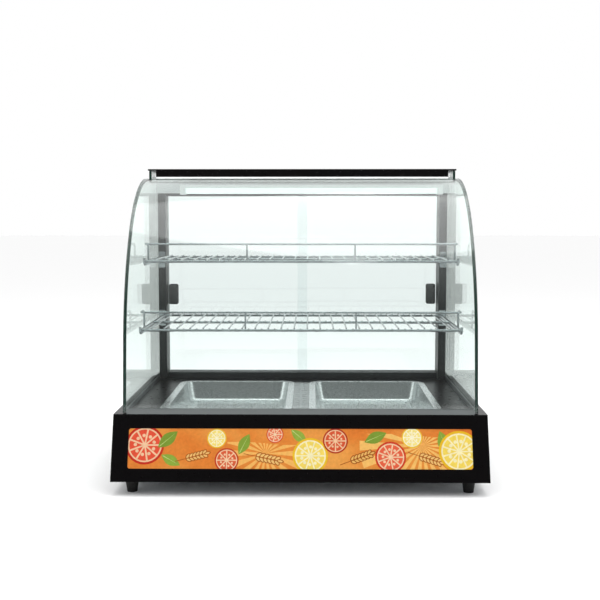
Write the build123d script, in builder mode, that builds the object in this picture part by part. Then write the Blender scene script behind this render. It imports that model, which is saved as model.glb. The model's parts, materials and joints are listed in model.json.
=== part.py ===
from build123d import *
from math import cos, radians, sin, tan
import os

os.makedirs("parts", exist_ok=True)

# Curved glass food warmer, millimetres. +Z is up and the customer's side faces -Y.
# The origin is the bottom centre of the whole object. Left and right are seen from the front.

# Sheet metal, glass and general clearances
sheet = 1.2
seat_gap = 0.3
fit_gap = 0.05
glass_thickness = 5.0
silicone = 0.5

# Base
base_width = 660.0
base_height = 112.0
face_run = 38.0
foot_height = 25.0
foot_top_radius = 12.5
foot_bottom_radius = 9.0
foot_setback = 35.0
foot_side_inset = 20.0
foot_screw_radius = 2.5
foot_screw_head_radius = 4.5
foot_screw_head_height = 3.0
foot_head_recess = 14.0
foot_nut_height = 4.0

# Lit front panel
window_side = 29.0
window_height = 70.0
window_corner = 4.0
window_bottom_margin = 23.2
print_thickness = 3.0
print_overlap = 8.0
tray_depth = 22.0
tray_sheet = 0.8
led_board_width = 12.0
led_board_thickness = 1.6
led_board_end_gap = 20.0
led_size = 5.0
led_height = 1.2
led_count = 16

# Pans and water tank
pan_width = 241.0
pan_length = 333.0
pan_front = 30.0
bay_depth = 79.0
pan_gap = 30.0
pan_depth = 40.0
pan_sheet = 1.0
pan_flange = 12.0
pan_taper = 8.0
pan_corner = 30.0
pan_bottom_radius = 10.0
pan_ledge = 8.0
bridge_slot_length = 12.0
bridge_slot_width = 4.0
bridge_slot_rows = 13
bridge_slot_pitch = 22.0
tank_side_gap = 2.0
tank_flange = 10.0
tank_under_pan = 55.0
tank_corner = 12.0

# Heating element
element_radius = 4.0
element_height = 14.0
element_spread = 150.0
element_inner_spread = 50.0
element_bend = 22.0
element_front_gap = 30.0
element_tail = 26.0
element_collar_radius = 8.0
element_collar_height = 5.0

# Rear panel and its controls
panel_side_gap = 0.2
louvre_width = 60.0
louvre_height = 3.0
louvre_rows = 6
louvre_pitch = 9.0
louvre_side = 85.0
plate_slot_width = 4.0
plate_slot_columns = 4
plate_slot_rows = 3
plate_slot_pitch_x = 120.0
plate_slot_pitch_y = 18.0
control_height = 58.0
knob_x = -120.0
knob_radius = 19.0
knob_skirt_radius = 22.0
knob_skirt_height = 3.0
knob_height = 16.0
knob_gap = 0.5
knob_grip_count = 12
knob_grip_radius = 2.2
dial_radius = 32.0
dial_thickness = 1.0
spindle_radius = 3.0
spindle_length = 20.0
thermostat_size = 36.0
thermostat_depth = 26.0
thermostat_bush_radius = 6.0
thermostat_corner = 3.0
dial_hole_radius = 5.5
knob_bore_depth = 10.0
pointer_width = 3.0
pointer_height = 3.0
capillary_bend = 10.0
capillary_reach = 15.0
probe_radius = 3.0
probe_length = 70.0
capillary_radius = 1.0
switch_x = (-20.0, 40.0)
switch_width = 22.0
switch_height = 30.0
switch_bezel = 2.5
switch_bezel_thickness = 2.0
switch_depth = 22.0
switch_wall = 2.5
rocker_tilt = 8.0
rocker_proud = 3.5
rocker_pin_radius = 1.2
rocker_pin_length = 1.5
rocker_pivot_depth = 3.0
rocker_belly = 4.0
lamp_x = (85.0, 120.0)
lamp_body_radius = 5.0
lamp_lens_radius = 6.5
lamp_lens_height = 4.0
lamp_body_length = 18.0
gland_x = 175.0
gland_height = 24.0
gland_radius = 8.0
gland_hex_radius = 12.0
gland_hex_height = 5.0
gland_nose_radius = 9.0
gland_nose_height = 8.0
gland_nose_fillet = 2.6
gland_bore = 4.5
gland_length = 12.0
terminal_size = (60.0, 22.0, 18.0)
terminal_x = 60.0
driver_size = (110.0, 34.0, 24.0)
driver_x = -60.0
driver_corner = 3.0
bay_gap = 24.0
terminal_ways = 6
terminal_pocket = 5.0
driver_tab = 12.0
panel_screw_radius = 2.0
panel_screw_head_radius = 4.0
panel_screw_head_height = 2.0
panel_screw_length = 8.0
panel_screw_columns = 4
panel_screw_side = 10.6
panel_screw_inset = 10.0

# Curved front glass: a leaning foot, then two tangent arcs up to the horizontal
cabinet_inset = 16.5
glass_setback = 1.05
glass_lean = 5.2
glass_foot_length = 126.0
lower_radius = 397.0
lower_turn = 31.0
upper_radius = 248.0
glass_seat = 1.5
glass_flat = 14.4
glass_tuck = 15.0
side_glass_inset = 10.0
channel_height = 9.0
channel_wall = 1.0

# Top cap, posts and canopy
cap_rear_inset = 2.0
cap_height = 16.0
cap_sheet = 3.0
cap_end_inset = 16.5
cap_seal = 3.8
cap_seal_width = 13.0
post_width = 16.2
post_depth = 47.0
post_wall = 2.0
canopy_drop = 31.0
canopy_sheet = 1.2
canopy_gap = 2.0

# Lamp under the canopy
tube_radius = 6.0
lamp_shift = 19.0
lamp_room = 75.0
lamp_stand = 11.0
holder_width = 12.0
holder_depth = 16.0
holder_height = 14.0
holder_bite = 4.0
batten_height = 7.0
batten_depth = 19.0

# Sliding doors and their tracks
door_overlap = 20.8
door_thickness = 4.0
door_pitch = 16.0
door_clearance = 0.3
door_bite = 7.0
track_lip = 10.0
track_overhang = 4.0
sill_height = 13.5
sill_groove = 8.0
header_height = 36.0
header_groove = 16.0
handle_width = 20.0
handle_height = 44.0
handle_thickness = 9.0
handle_end_gap = 1.0
handle_above_deck = 182.0
handle_corner = 4.0
handle_dish = 3.0

# Wire shelves
shelf_side_gap = 10.5
shelf_back_gap = 2.0
shelf_fronts = {"upper": 143.0, "lower": 88.0}
shelf_heights = {"upper": 268.5, "lower": 144.0}
frame_wire = 2.5
slat_wire = 1.5
slat_pitch = 24.0
shelf_corner = 12.0
weld = 0.4
guard_wire = 2.0
guard_height = 30.0
guard_return = 40.0
guard_bend = 10.0
guard_upright_x = 102.0
guard_upright_wire = 1.5
hanger_wire = 2.5
hanger_plate_width = 14.0
hanger_plate_height = 34.0
hanger_plate_thickness = 2.0
hanger_tip = 12.0
hanger_bend = 8.0

# Places worked out from the sizes above
knob_reach = dial_thickness + knob_gap + knob_height
deck_depth = pan_front + pan_length + bay_depth
y_foot = -(face_run + deck_depth + knob_reach) / 2
y_deck = y_foot + face_run
y_rear = y_deck + deck_depth
z_base = foot_height
z_deck = foot_height + base_height
z_under_deck = z_deck - sheet
y_shell_top = y_deck - face_run * sheet / base_height
cabinet_width = base_width - 2 * cabinet_inset
cabinet_half = cabinet_width / 2
glass_inner_half = cabinet_half - glass_thickness
y_side_rear = y_rear - side_glass_inset
y_post_front = y_side_rear - post_depth

# The slanted front face: its origin at the foot of the face, local Y up the slope
slope = Plane(origin=(0, y_foot, z_base), x_dir=(1, 0, 0), z_dir=(0, -base_height, face_run))
window_width = base_width - 2 * window_side
window_middle = window_bottom_margin + window_height / 2
print_width = window_width + 2 * print_overlap
print_height = window_height + 2 * print_overlap

# Base shell: front and sides folded from one sheet, open above, below and behind
with BuildPart() as base_shell:
    with BuildSketch(Plane.YZ):
        with BuildLine():
            Polyline(
                (y_foot, z_base),
                (y_shell_top, z_under_deck),
                (y_rear, z_under_deck),
                (y_rear, z_base),
                close=True,
            )
        make_face()
    extrude(amount=base_width / 2, both=True)
    open_faces = base_shell.faces().sort_by(Axis.Z)
    rear_face = base_shell.faces().sort_by(Axis.Y)[-1]
    offset(amount=-sheet, openings=[open_faces[0], open_faces[-1], rear_face], kind=Kind.INTERSECTION)
    with BuildSketch(slope):
        with Locations((0, window_middle)):
            RectangleRounded(window_width, window_height, window_corner)
    extrude(amount=-2 * sheet, mode=Mode.SUBTRACT)
base_shell.part.label = "base_shell"
export_step(base_shell.part, "parts/base_shell.step")

# Printed acrylic panel behind the window
with BuildPart() as print_panel:
    with BuildSketch(slope.offset(-sheet)):
        with Locations((0, window_middle)):
            RectangleRounded(print_width, print_height, window_corner)
    extrude(amount=-print_thickness)
print_panel.part.label = "print_panel"
export_step(print_panel.part, "parts/print_panel.step")

# Light tray: a shallow reflector box, open towards the print
tray_plane = slope.offset(-sheet - print_thickness)
with BuildPart() as light_tray:
    with BuildSketch(tray_plane):
        with Locations((0, window_middle)):
            Rectangle(print_width, print_height)
    extrude(amount=-tray_depth)
    tray_mouth = light_tray.faces().sort_by(Axis(tray_plane.origin, tray_plane.z_dir))[-1]
    offset(amount=-tray_sheet, openings=[tray_mouth], kind=Kind.INTERSECTION)
light_tray.part.label = "light_tray"
export_step(light_tray.part, "parts/light_tray.step")

# Light strip on the tray's floor: a board with a row of light-emitting diodes
strip_plane = tray_plane.offset(-tray_depth + tray_sheet)
strip_length = print_width - 2 * led_board_end_gap
with BuildPart() as led_strip:
    with BuildSketch(strip_plane):
        with Locations((0, window_middle)):
            Rectangle(strip_length, led_board_width)
    extrude(amount=led_board_thickness)
    with BuildSketch(strip_plane.offset(led_board_thickness)):
        with Locations((0, window_middle)):
            with GridLocations(strip_length / led_count, 1, led_count, 1):
                Rectangle(led_size, led_size)
    extrude(amount=led_height)
led_strip.part.label = "led_strip"
export_step(led_strip.part, "parts/led_strip.step")

# Deck: one sheet with a stepped opening for each pan and a slotted bridge between them
pan_x = (pan_gap + pan_width) / 2
pan_middle = y_deck + pan_front + pan_length / 2
opening_width = pan_width - 2 * pan_ledge
opening_length = pan_length - 2 * pan_ledge
pan_places = {"left": (-pan_x, pan_middle), "right": (pan_x, pan_middle)}
with BuildPart() as top_deck:
    with BuildSketch(Plane.XY.offset(z_under_deck)):
        with Locations((0, y_deck + deck_depth / 2)):
            Rectangle(base_width, deck_depth)
        with Locations(*pan_places.values()):
            RectangleRounded(opening_width, opening_length, pan_corner - pan_ledge, mode=Mode.SUBTRACT)
        with Locations((0, pan_middle)):
            with GridLocations(pan_gap / 2, bridge_slot_pitch, 2, bridge_slot_rows):
                SlotOverall(bridge_slot_length, bridge_slot_width, mode=Mode.SUBTRACT)
    extrude(amount=sheet)
top_deck.part.label = "top_deck"
export_step(top_deck.part, "parts/top_deck.step")

# Water tank under both pans, with its flange against the underside of the deck
tank_width = 2 * pan_x + opening_width + 2 * tank_side_gap
tank_length = opening_length + 2 * tank_side_gap
tank_depth = pan_depth + tank_under_pan
z_tank_floor = z_under_deck - tank_depth
z_element = z_tank_floor + element_height
y_tank_rear = pan_middle + tank_length / 2
with BuildPart() as water_tank:
    with BuildSketch(Plane.XY.offset(z_tank_floor)):
        with Locations((0, pan_middle)):
            RectangleRounded(tank_width, tank_length, tank_corner)
    extrude(amount=tank_depth)
    tank_mouth = water_tank.faces().sort_by(Axis.Z)[-1]
    offset(amount=-pan_sheet, openings=[tank_mouth])
    with BuildSketch(Plane.XY.offset(z_under_deck - pan_sheet)):
        with Locations((0, pan_middle)):
            RectangleRounded(tank_width + 2 * tank_flange, tank_length + 2 * tank_flange, tank_corner)
            RectangleRounded(
                tank_width - pan_sheet, tank_length - pan_sheet, tank_corner, mode=Mode.SUBTRACT
            )
    extrude(amount=pan_sheet)
    with BuildSketch(Plane.XZ.offset(-y_tank_rear)):
        with Locations((-element_spread, z_element), (element_spread, z_element)):
            Circle(element_radius + fit_gap)
    extrude(amount=2 * pan_sheet, mode=Mode.SUBTRACT)
water_tank.part.label = "water_tank"
export_step(water_tank.part, "parts/water_tank.step")

# Heating element: one tube bent into two long hairpins, with a collar where it leaves the tank
y_element_end = y_tank_rear + element_tail
y_element_front = pan_middle - tank_length / 2 + element_front_gap
y_element_back = y_tank_rear - element_front_gap
element_route = [
    (-element_spread, y_element_end, z_element),
    (-element_spread, y_element_front, z_element),
    (-element_inner_spread, y_element_front, z_element),
    (-element_inner_spread, y_element_back, z_element),
    (element_inner_spread, y_element_back, z_element),
    (element_inner_spread, y_element_front, z_element),
    (element_spread, y_element_front, z_element),
    (element_spread, y_element_end, z_element),
]
with BuildPart() as heating_element:
    with BuildLine() as element_path:
        FilletPolyline(*element_route, radius=element_bend)
    with BuildSketch(Plane.XZ.offset(-y_element_end)):
        with Locations((-element_spread, z_element)):
            Circle(element_radius)
    sweep(path=element_path.line)
    with BuildSketch(Plane.XZ.offset(-y_tank_rear)):
        with Locations((-element_spread, z_element), (element_spread, z_element)):
            RegularPolygon(element_collar_radius, 6)
    extrude(amount=-element_collar_height)
heating_element.part.label = "heating_element"
export_step(heating_element.part, "parts/heating_element.step")

# Two deep-drawn pans whose flanges rest on the deck
body_width = pan_width - 2 * pan_flange
body_length = pan_length - 2 * pan_flange
body_corner = pan_corner - pan_flange


def pan_block(place, inset):
    """Solid tapered block with a rounded floor edge, inset from the pan's outside."""
    with BuildPart() as block:
        with BuildSketch(Plane.XY.offset(z_deck - pan_depth + inset)):
            with Locations(place):
                RectangleRounded(
                    body_width - 2 * (pan_taper + inset),
                    body_length - 2 * (pan_taper + inset),
                    body_corner - inset,
                )
        with BuildSketch(Plane.XY.offset(z_deck + inset)):
            with Locations(place):
                RectangleRounded(body_width - 2 * inset, body_length - 2 * inset, body_corner - inset)
        loft()
        fillet(block.faces().sort_by(Axis.Z)[0].edges(), radius=pan_bottom_radius - inset)
    return block.part


for side, place in pan_places.items():
    with BuildPart() as pan:
        add(pan_block(place, 0))
        with BuildSketch(Plane.XY.offset(z_deck)):
            with Locations(place):
                RectangleRounded(pan_width, pan_length, pan_corner)
        extrude(amount=pan_sheet)
        add(pan_block(place, pan_sheet), mode=Mode.SUBTRACT)
    pan.part.label = f"pan_{side}"
    export_step(pan.part, f"parts/pan_{side}.step")

# Bottom plate, with vent slots and the holes for the feet
foot_x = base_width / 2 - foot_side_inset - foot_top_radius
foot_places = {
    "front_left": (-foot_x, y_foot + foot_setback),
    "front_right": (foot_x, y_foot + foot_setback),
    "rear_left": (-foot_x, y_rear - foot_setback),
    "rear_right": (foot_x, y_rear - foot_setback),
}
y_plate_front = y_foot + 2 * sheet
with BuildPart() as bottom_plate:
    with BuildSketch(Plane.XY.offset(z_base)):
        with Locations((0, (y_plate_front + y_rear - sheet) / 2)):
            Rectangle(base_width - 2 * sheet - 2 * panel_side_gap, y_rear - sheet - y_plate_front)
        with Locations(*foot_places.values()):
            Circle(foot_screw_radius + fit_gap, mode=Mode.SUBTRACT)
        with Locations((0, y_rear - foot_setback)):
            with GridLocations(
                plate_slot_pitch_x, plate_slot_pitch_y, plate_slot_columns, plate_slot_rows
            ):
                SlotOverall(louvre_width, plate_slot_width, mode=Mode.SUBTRACT)
    extrude(amount=sheet)
bottom_plate.part.label = "bottom_plate"
export_step(bottom_plate.part, "parts/bottom_plate.step")

# Four tapered rubber feet, each with a stepped hole for its screw
for corner, place in foot_places.items():
    with BuildPart() as foot:
        with BuildSketch(Plane.XY):
            with Locations(place):
                Circle(foot_bottom_radius)
        with BuildSketch(Plane.XY.offset(foot_height)):
            with Locations(place):
                Circle(foot_top_radius)
        loft()
        with Locations(Plane(origin=(place[0], place[1], 0), z_dir=(0, 0, -1))):
            CounterBoreHole(foot_screw_radius + fit_gap, foot_screw_head_radius + fit_gap, foot_head_recess)
    foot.part.label = f"foot_{corner}"
    export_step(foot.part, f"parts/foot_{corner}.step")

# Screws that hold the feet, each with its nut above the bottom plate
with BuildPart() as foot_screws:
    with BuildSketch(Plane.XY.offset(foot_head_recess - foot_screw_head_height)):
        with Locations(*foot_places.values()):
            Circle(foot_screw_head_radius)
    extrude(amount=foot_screw_head_height)
    with BuildSketch(Plane.XY.offset(foot_head_recess)):
        with Locations(*foot_places.values()):
            Circle(foot_screw_radius)
    extrude(amount=z_base + sheet + foot_nut_height - foot_head_recess)
    with BuildSketch(Plane.XY.offset(z_base + sheet)):
        with Locations(*foot_places.values()):
            RegularPolygon(foot_screw_head_radius, 6)
    extrude(amount=foot_nut_height)
foot_screws.part.label = "foot_screws"
export_step(foot_screws.part, "parts/foot_screws.step")

# Rear panel with louvre slots and the cut-outs for the controls
rear_plane = Plane(origin=(0, y_rear, z_base), x_dir=(-1, 0, 0), z_dir=(0, 1, 0))
panel_half = base_width / 2 - sheet - panel_side_gap
panel_top = z_under_deck - z_base
louvre_x = base_width / 2 - louvre_side
screw_rows = (panel_screw_inset, panel_top - panel_screw_inset)
screw_span = panel_half - panel_screw_side
screw_pitch = 2 * screw_span / (panel_screw_columns - 1)
screw_columns = [screw_pitch * column - screw_span for column in range(panel_screw_columns)]
panel_screw_places = [(x, y) for x in screw_columns for y in screw_rows]
with BuildPart() as rear_panel:
    with BuildSketch(rear_plane.offset(-sheet)):
        with Locations((0, panel_top / 2)):
            Rectangle(2 * panel_half, panel_top)
        with Locations((-louvre_x, panel_top / 2), (louvre_x, panel_top / 2)):
            with GridLocations(1, louvre_pitch, 1, louvre_rows):
                SlotOverall(louvre_width, louvre_height, mode=Mode.SUBTRACT)
        with Locations((knob_x, control_height)):
            Circle(thermostat_bush_radius + fit_gap, mode=Mode.SUBTRACT)
        with Locations(*[(x, control_height) for x in switch_x]):
            Rectangle(switch_width + 2 * fit_gap, switch_height + 2 * fit_gap, mode=Mode.SUBTRACT)
        with Locations(*[(x, control_height) for x in lamp_x]):
            Circle(lamp_body_radius + fit_gap, mode=Mode.SUBTRACT)
        with Locations((gland_x, gland_height)):
            Circle(gland_radius + fit_gap, mode=Mode.SUBTRACT)
        with Locations(*panel_screw_places):
            Circle(panel_screw_radius + fit_gap, mode=Mode.SUBTRACT)
    extrude(amount=sheet)
rear_panel.part.label = "rear_panel"
export_step(rear_panel.part, "parts/rear_panel.step")

# Screws round the rear panel
with BuildPart() as panel_screws:
    with BuildSketch(rear_plane):
        with Locations(*panel_screw_places):
            Circle(panel_screw_head_radius)
    extrude(amount=panel_screw_head_height)
    with BuildSketch(rear_plane):
        with Locations(*panel_screw_places):
            Circle(panel_screw_radius)
    extrude(amount=-panel_screw_length)
panel_screws.part.label = "panel_screws"
export_step(panel_screws.part, "parts/panel_screws.step")


def on_rear(x, y):
    """Plane on the outside of the rear panel, centred on one point of it."""
    place = rear_plane.from_local_coords((x, y, 0))
    return Plane(origin=place, x_dir=rear_plane.x_dir, z_dir=rear_plane.z_dir)


# Thermostat behind the panel, with a bush that fills the panel's hole
knob_axis = on_rear(knob_x, control_height)
with BuildPart() as thermostat_body:
    with BuildSketch(knob_axis.offset(-sheet)):
        RectangleRounded(thermostat_size, thermostat_size, thermostat_corner)
    extrude(amount=-thermostat_depth)
    with BuildSketch(knob_axis.offset(-sheet)):
        Circle(thermostat_bush_radius)
    extrude(amount=sheet)
    with BuildSketch(knob_axis):
        Circle(spindle_radius + fit_gap)
    extrude(amount=-spindle_length, mode=Mode.SUBTRACT)
thermostat_body.part.label = "thermostat_body"
export_step(thermostat_body.part, "parts/thermostat_body.step")

# Dial plate round the spindle
with BuildPart() as dial_plate:
    with BuildSketch(knob_axis):
        Circle(dial_radius)
        Circle(dial_hole_radius, mode=Mode.SUBTRACT)
    extrude(amount=dial_thickness)
dial_plate.part.label = "dial_plate"
export_step(dial_plate.part, "parts/dial_plate.step")

# Spindle, which turns in the thermostat's bore
knob_foot = dial_thickness + knob_gap
with BuildPart() as thermostat_spindle:
    with BuildSketch(knob_axis.offset(knob_foot + knob_bore_depth)):
        Circle(spindle_radius)
    extrude(amount=-(knob_foot + knob_bore_depth + spindle_length - seat_gap))
thermostat_spindle.part.label = "thermostat_spindle"
export_step(thermostat_spindle.part, "parts/thermostat_spindle.step")

# Knob: a skirt, a scalloped grip and a raised pointer, bored for the spindle
with BuildPart() as thermostat_knob:
    with BuildSketch(knob_axis.offset(knob_foot)):
        Circle(knob_skirt_radius)
    extrude(amount=knob_skirt_height)
    with BuildSketch(knob_axis.offset(knob_foot)):
        Circle(knob_radius)
        with PolarLocations(knob_radius + knob_grip_radius / 2, knob_grip_count):
            Circle(knob_grip_radius, mode=Mode.SUBTRACT)
    extrude(amount=knob_height - pointer_height)
    with BuildSketch(knob_axis.offset(knob_foot + knob_height - pointer_height)):
        with Locations((0, knob_radius / 2)):
            Rectangle(pointer_width, knob_radius - 2 * knob_grip_radius)
    extrude(amount=pointer_height)
    with BuildSketch(knob_axis.offset(knob_foot)):
        Circle(spindle_radius + fit_gap)
    extrude(amount=knob_bore_depth + seat_gap, mode=Mode.SUBTRACT)
thermostat_knob.part.label = "thermostat_knob"
export_step(thermostat_knob.part, "parts/thermostat_knob.step")

# Thermostat probe: a capillary from the thermostat to a bulb under the tank's floor
x_probe = knob_axis.origin.X
z_probe = z_tank_floor - probe_radius - seat_gap
y_capillary_start = y_rear - sheet - thermostat_depth
y_capillary_drop = y_capillary_start - capillary_reach
y_bulb = y_tank_rear - tank_flange
with BuildPart() as thermostat_probe:
    with BuildLine() as capillary_path:
        FilletPolyline(
            (x_probe, y_capillary_start, z_base + control_height),
            (x_probe, y_capillary_drop, z_base + control_height),
            (x_probe, y_capillary_drop, z_probe),
            (x_probe, y_bulb, z_probe),
            radius=capillary_bend,
        )
    with BuildSketch(Plane.XZ.offset(-y_capillary_start)):
        with Locations((x_probe, z_base + control_height)):
            Circle(capillary_radius)
    sweep(path=capillary_path.line)
    with BuildSketch(Plane.XZ.offset(-y_bulb)):
        with Locations((x_probe, z_probe)):
            Circle(probe_radius)
    extrude(amount=probe_length)
thermostat_probe.part.label = "thermostat_probe"
export_step(thermostat_probe.part, "parts/thermostat_probe.step")

# Two rocker switches: a housing with a bezel and a rocker on a pin, at rest tilted to off
cavity_width = switch_width - 2 * switch_wall
cavity_height = switch_height - 2 * switch_wall
rocker_width = cavity_width - 2 * seat_gap
rocker_radius = cavity_height / 2 - seat_gap
for name, x in zip(("power", "light"), switch_x):
    face = on_rear(x, control_height)
    pivot = face.from_local_coords((0, 0, switch_bezel_thickness - rocker_pivot_depth))
    rocker_up = (0, sin(radians(rocker_tilt)), cos(radians(rocker_tilt)))
    rocker_side = Plane(origin=pivot, x_dir=rocker_up, z_dir=(-1, 0, 0))
    with BuildPart() as housing:
        with BuildSketch(face):
            RectangleRounded(
                switch_width + 2 * switch_bezel,
                switch_height + 2 * switch_bezel,
                switch_bezel,
            )
        extrude(amount=switch_bezel_thickness)
        with BuildSketch(face):
            Rectangle(switch_width, switch_height)
        extrude(amount=-switch_depth)
        with BuildSketch(face.offset(switch_bezel_thickness)):
            Rectangle(cavity_width, cavity_height)
        extrude(amount=-rocker_pivot_depth - rocker_radius - seat_gap, mode=Mode.SUBTRACT)
        with BuildSketch(rocker_side):
            Circle(rocker_pin_radius + fit_gap)
        extrude(amount=rocker_width / 2 + rocker_pin_length + seat_gap, both=True, mode=Mode.SUBTRACT)
    housing.part.label = f"{name}_switch_housing"
    export_step(housing.part, f"parts/{name}_switch_housing.step")

    with BuildPart() as rocker:
        with BuildSketch(rocker_side):
            Circle(rocker_radius)
            with BuildLine():
                Polyline(
                    (-2 * rocker_radius, rocker_pivot_depth + 2 * rocker_proud),
                    (0, rocker_pivot_depth),
                    (2 * rocker_radius, rocker_pivot_depth + 2 * rocker_proud),
                    (2 * rocker_radius, 2 * rocker_radius + rocker_pivot_depth),
                    (-2 * rocker_radius, 2 * rocker_radius + rocker_pivot_depth),
                    close=True,
                )
            make_face(mode=Mode.SUBTRACT)
            with Locations((0, -rocker_radius - rocker_belly)):
                Rectangle(2 * rocker_radius, 2 * rocker_radius, mode=Mode.SUBTRACT)
        extrude(amount=rocker_width / 2, both=True)
        with BuildSketch(rocker_side):
            Circle(rocker_pin_radius)
        extrude(amount=rocker_width / 2 + rocker_pin_length, both=True)
    rocker.part.label = f"{name}_switch_rocker"
    export_step(rocker.part, f"parts/{name}_switch_rocker.step")

# Two indicator lamps with domed lenses
for name, x in zip(("power", "heat"), lamp_x):
    face = on_rear(x, control_height)
    with BuildPart() as indicator:
        with BuildSketch(face):
            Circle(lamp_lens_radius)
        extrude(amount=lamp_lens_height)
        fillet(indicator.faces().sort_by(Axis.Y)[-1].edges(), radius=lamp_lens_height - seat_gap)
        with BuildSketch(face):
            Circle(lamp_body_radius)
        extrude(amount=-lamp_body_length)
    indicator.part.label = f"{name}_indicator"
    export_step(indicator.part, f"parts/{name}_indicator.step")

# Cable gland: a threaded body, a hexagon against the panel and a rounded nose
gland_face = on_rear(gland_x, gland_height)
with BuildPart() as cable_gland:
    with BuildSketch(gland_face):
        RegularPolygon(gland_hex_radius, 6)
    extrude(amount=gland_hex_height)
    with BuildSketch(gland_face.offset(gland_hex_height)):
        Circle(gland_nose_radius)
    extrude(amount=gland_nose_height)
    fillet(cable_gland.faces().sort_by(Axis.Y)[-1].edges(), radius=gland_nose_fillet)
    with BuildSketch(gland_face):
        Circle(gland_radius)
    extrude(amount=-gland_length)
    with BuildSketch(gland_face.offset(gland_hex_height + gland_nose_height)):
        Circle(gland_bore)
    extrude(amount=-gland_hex_height - gland_nose_height - gland_length, mode=Mode.SUBTRACT)
cable_gland.part.label = "cable_gland"
export_step(cable_gland.part, "parts/cable_gland.step")

# Terminal block and light driver, on the bottom plate behind the tank
y_bay = y_rear - bay_gap - driver_size[1] / 2
with BuildPart() as terminal_block:
    with BuildSketch(Plane.XY.offset(z_base + sheet)):
        with Locations((terminal_x, y_bay)):
            Rectangle(terminal_size[0], terminal_size[1])
    extrude(amount=terminal_size[2])
    with BuildSketch(Plane.XY.offset(z_base + sheet + terminal_size[2])):
        with Locations((terminal_x, y_bay)):
            with GridLocations(terminal_size[0] / terminal_ways, terminal_size[1] / 2, terminal_ways, 2):
                Rectangle(terminal_pocket, terminal_pocket)
    extrude(amount=-terminal_pocket, mode=Mode.SUBTRACT)
terminal_block.part.label = "terminal_block"
export_step(terminal_block.part, "parts/terminal_block.step")

with BuildPart() as light_driver:
    with BuildSketch(Plane.XY.offset(z_base + sheet)):
        with Locations((driver_x, y_bay)):
            RectangleRounded(driver_size[0], driver_size[1], driver_corner)
    extrude(amount=driver_size[2])
    with BuildSketch(Plane.XY.offset(z_base + sheet)):
        with Locations((driver_x, y_bay)):
            SlotOverall(driver_size[0] + 2 * driver_tab, driver_tab)
    extrude(amount=sheet)
light_driver.part.label = "light_driver"
export_step(light_driver.part, "parts/light_driver.step")

# Curved front glass
lean = radians(glass_lean)
bend = radians(glass_lean + lower_turn)
upper_turn = 90 - glass_lean - lower_turn
y_glass = y_deck + glass_setback
z_glass_top = (
    z_deck
    + glass_foot_length * cos(lean)
    + lower_radius * (sin(bend) - sin(lean))
    + upper_radius * (1 - sin(bend))
)
y_glass_top = (
    y_glass
    + glass_foot_length * sin(lean)
    + lower_radius * (cos(lean) - cos(bend))
    + upper_radius * cos(bend)
)
y_cap = y_glass_top + glass_flat
z_cap_bottom = z_glass_top + cap_seal
z_cap_top = z_cap_bottom + cap_height


def lean_point(inset, rise):
    """Point inset behind the glass's outer face on its straight foot, rise above the deck."""
    return (y_glass + inset / cos(lean) + rise * tan(lean), z_deck + rise)


def glass_curve(inset, rise, y_end):
    """Draw one face of the curved glass, inset from the outer face, from its foot to y_end."""
    straight_end = (
        y_glass + glass_foot_length * sin(lean) + inset * cos(lean),
        z_deck + glass_foot_length * cos(lean) - inset * sin(lean),
    )
    foot = Line(lean_point(inset, rise), straight_end)
    lower = JernArc(foot @ 1, foot % 1, lower_radius - inset, -lower_turn)
    upper = JernArc(lower @ 1, lower % 1, upper_radius - inset, -upper_turn)
    return Line(upper @ 1, (y_end, (upper @ 1).Y))


with BuildPart() as front_glass:
    with BuildSketch(Plane.YZ):
        with BuildLine():
            outer = glass_curve(0, glass_seat, y_cap + glass_tuck)
            inner = glass_curve(glass_thickness, glass_seat, y_cap + glass_tuck)
            Line(outer @ 1, inner @ 1)
            Line(lean_point(0, glass_seat), lean_point(glass_thickness, glass_seat))
        make_face()
    extrude(amount=cabinet_half, both=True)
front_glass.part.label = "front_glass"
export_step(front_glass.part, "parts/front_glass.step")

# Flat side glasses, cut to the inside of the curve and stepped up under the cap
z_side_top = z_cap_top - cap_sheet - silicone
for side, x in (("left", -cabinet_half), ("right", glass_inner_half)):
    with BuildPart() as side_glass:
        with BuildSketch(Plane.YZ.offset(x)):
            with BuildLine():
                y_step = y_cap + glass_tuck + silicone
                crown = glass_curve(glass_thickness + silicone, glass_seat, y_step)
                Polyline(
                    crown @ 1,
                    (y_step, z_side_top),
                    (y_side_rear, z_side_top),
                    (y_side_rear, z_deck + glass_seat),
                    lean_point(glass_thickness + silicone, glass_seat),
                )
            make_face()
        extrude(amount=glass_thickness)
    side_glass.part.label = f"side_glass_{side}"
    export_step(side_glass.part, f"parts/side_glass_{side}.step")

# Channel that holds the foot of the front glass
front_channel_half = glass_inner_half - channel_wall - 2 * silicone
with BuildPart() as front_glass_channel:
    with BuildSketch(Plane.YZ):
        with BuildLine():
            Polyline(
                lean_point(-channel_wall, 0),
                lean_point(-channel_wall, channel_height),
                lean_point(-fit_gap, channel_height),
                lean_point(-fit_gap, glass_seat - fit_gap),
                lean_point(glass_thickness + fit_gap, glass_seat - fit_gap),
                lean_point(glass_thickness + fit_gap, channel_height),
                lean_point(glass_thickness + channel_wall, channel_height),
                lean_point(glass_thickness + channel_wall, 0),
                close=True,
            )
        make_face()
    extrude(amount=front_channel_half, both=True)
front_glass_channel.part.label = "front_glass_channel"
export_step(front_glass_channel.part, "parts/front_glass_channel.step")

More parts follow.
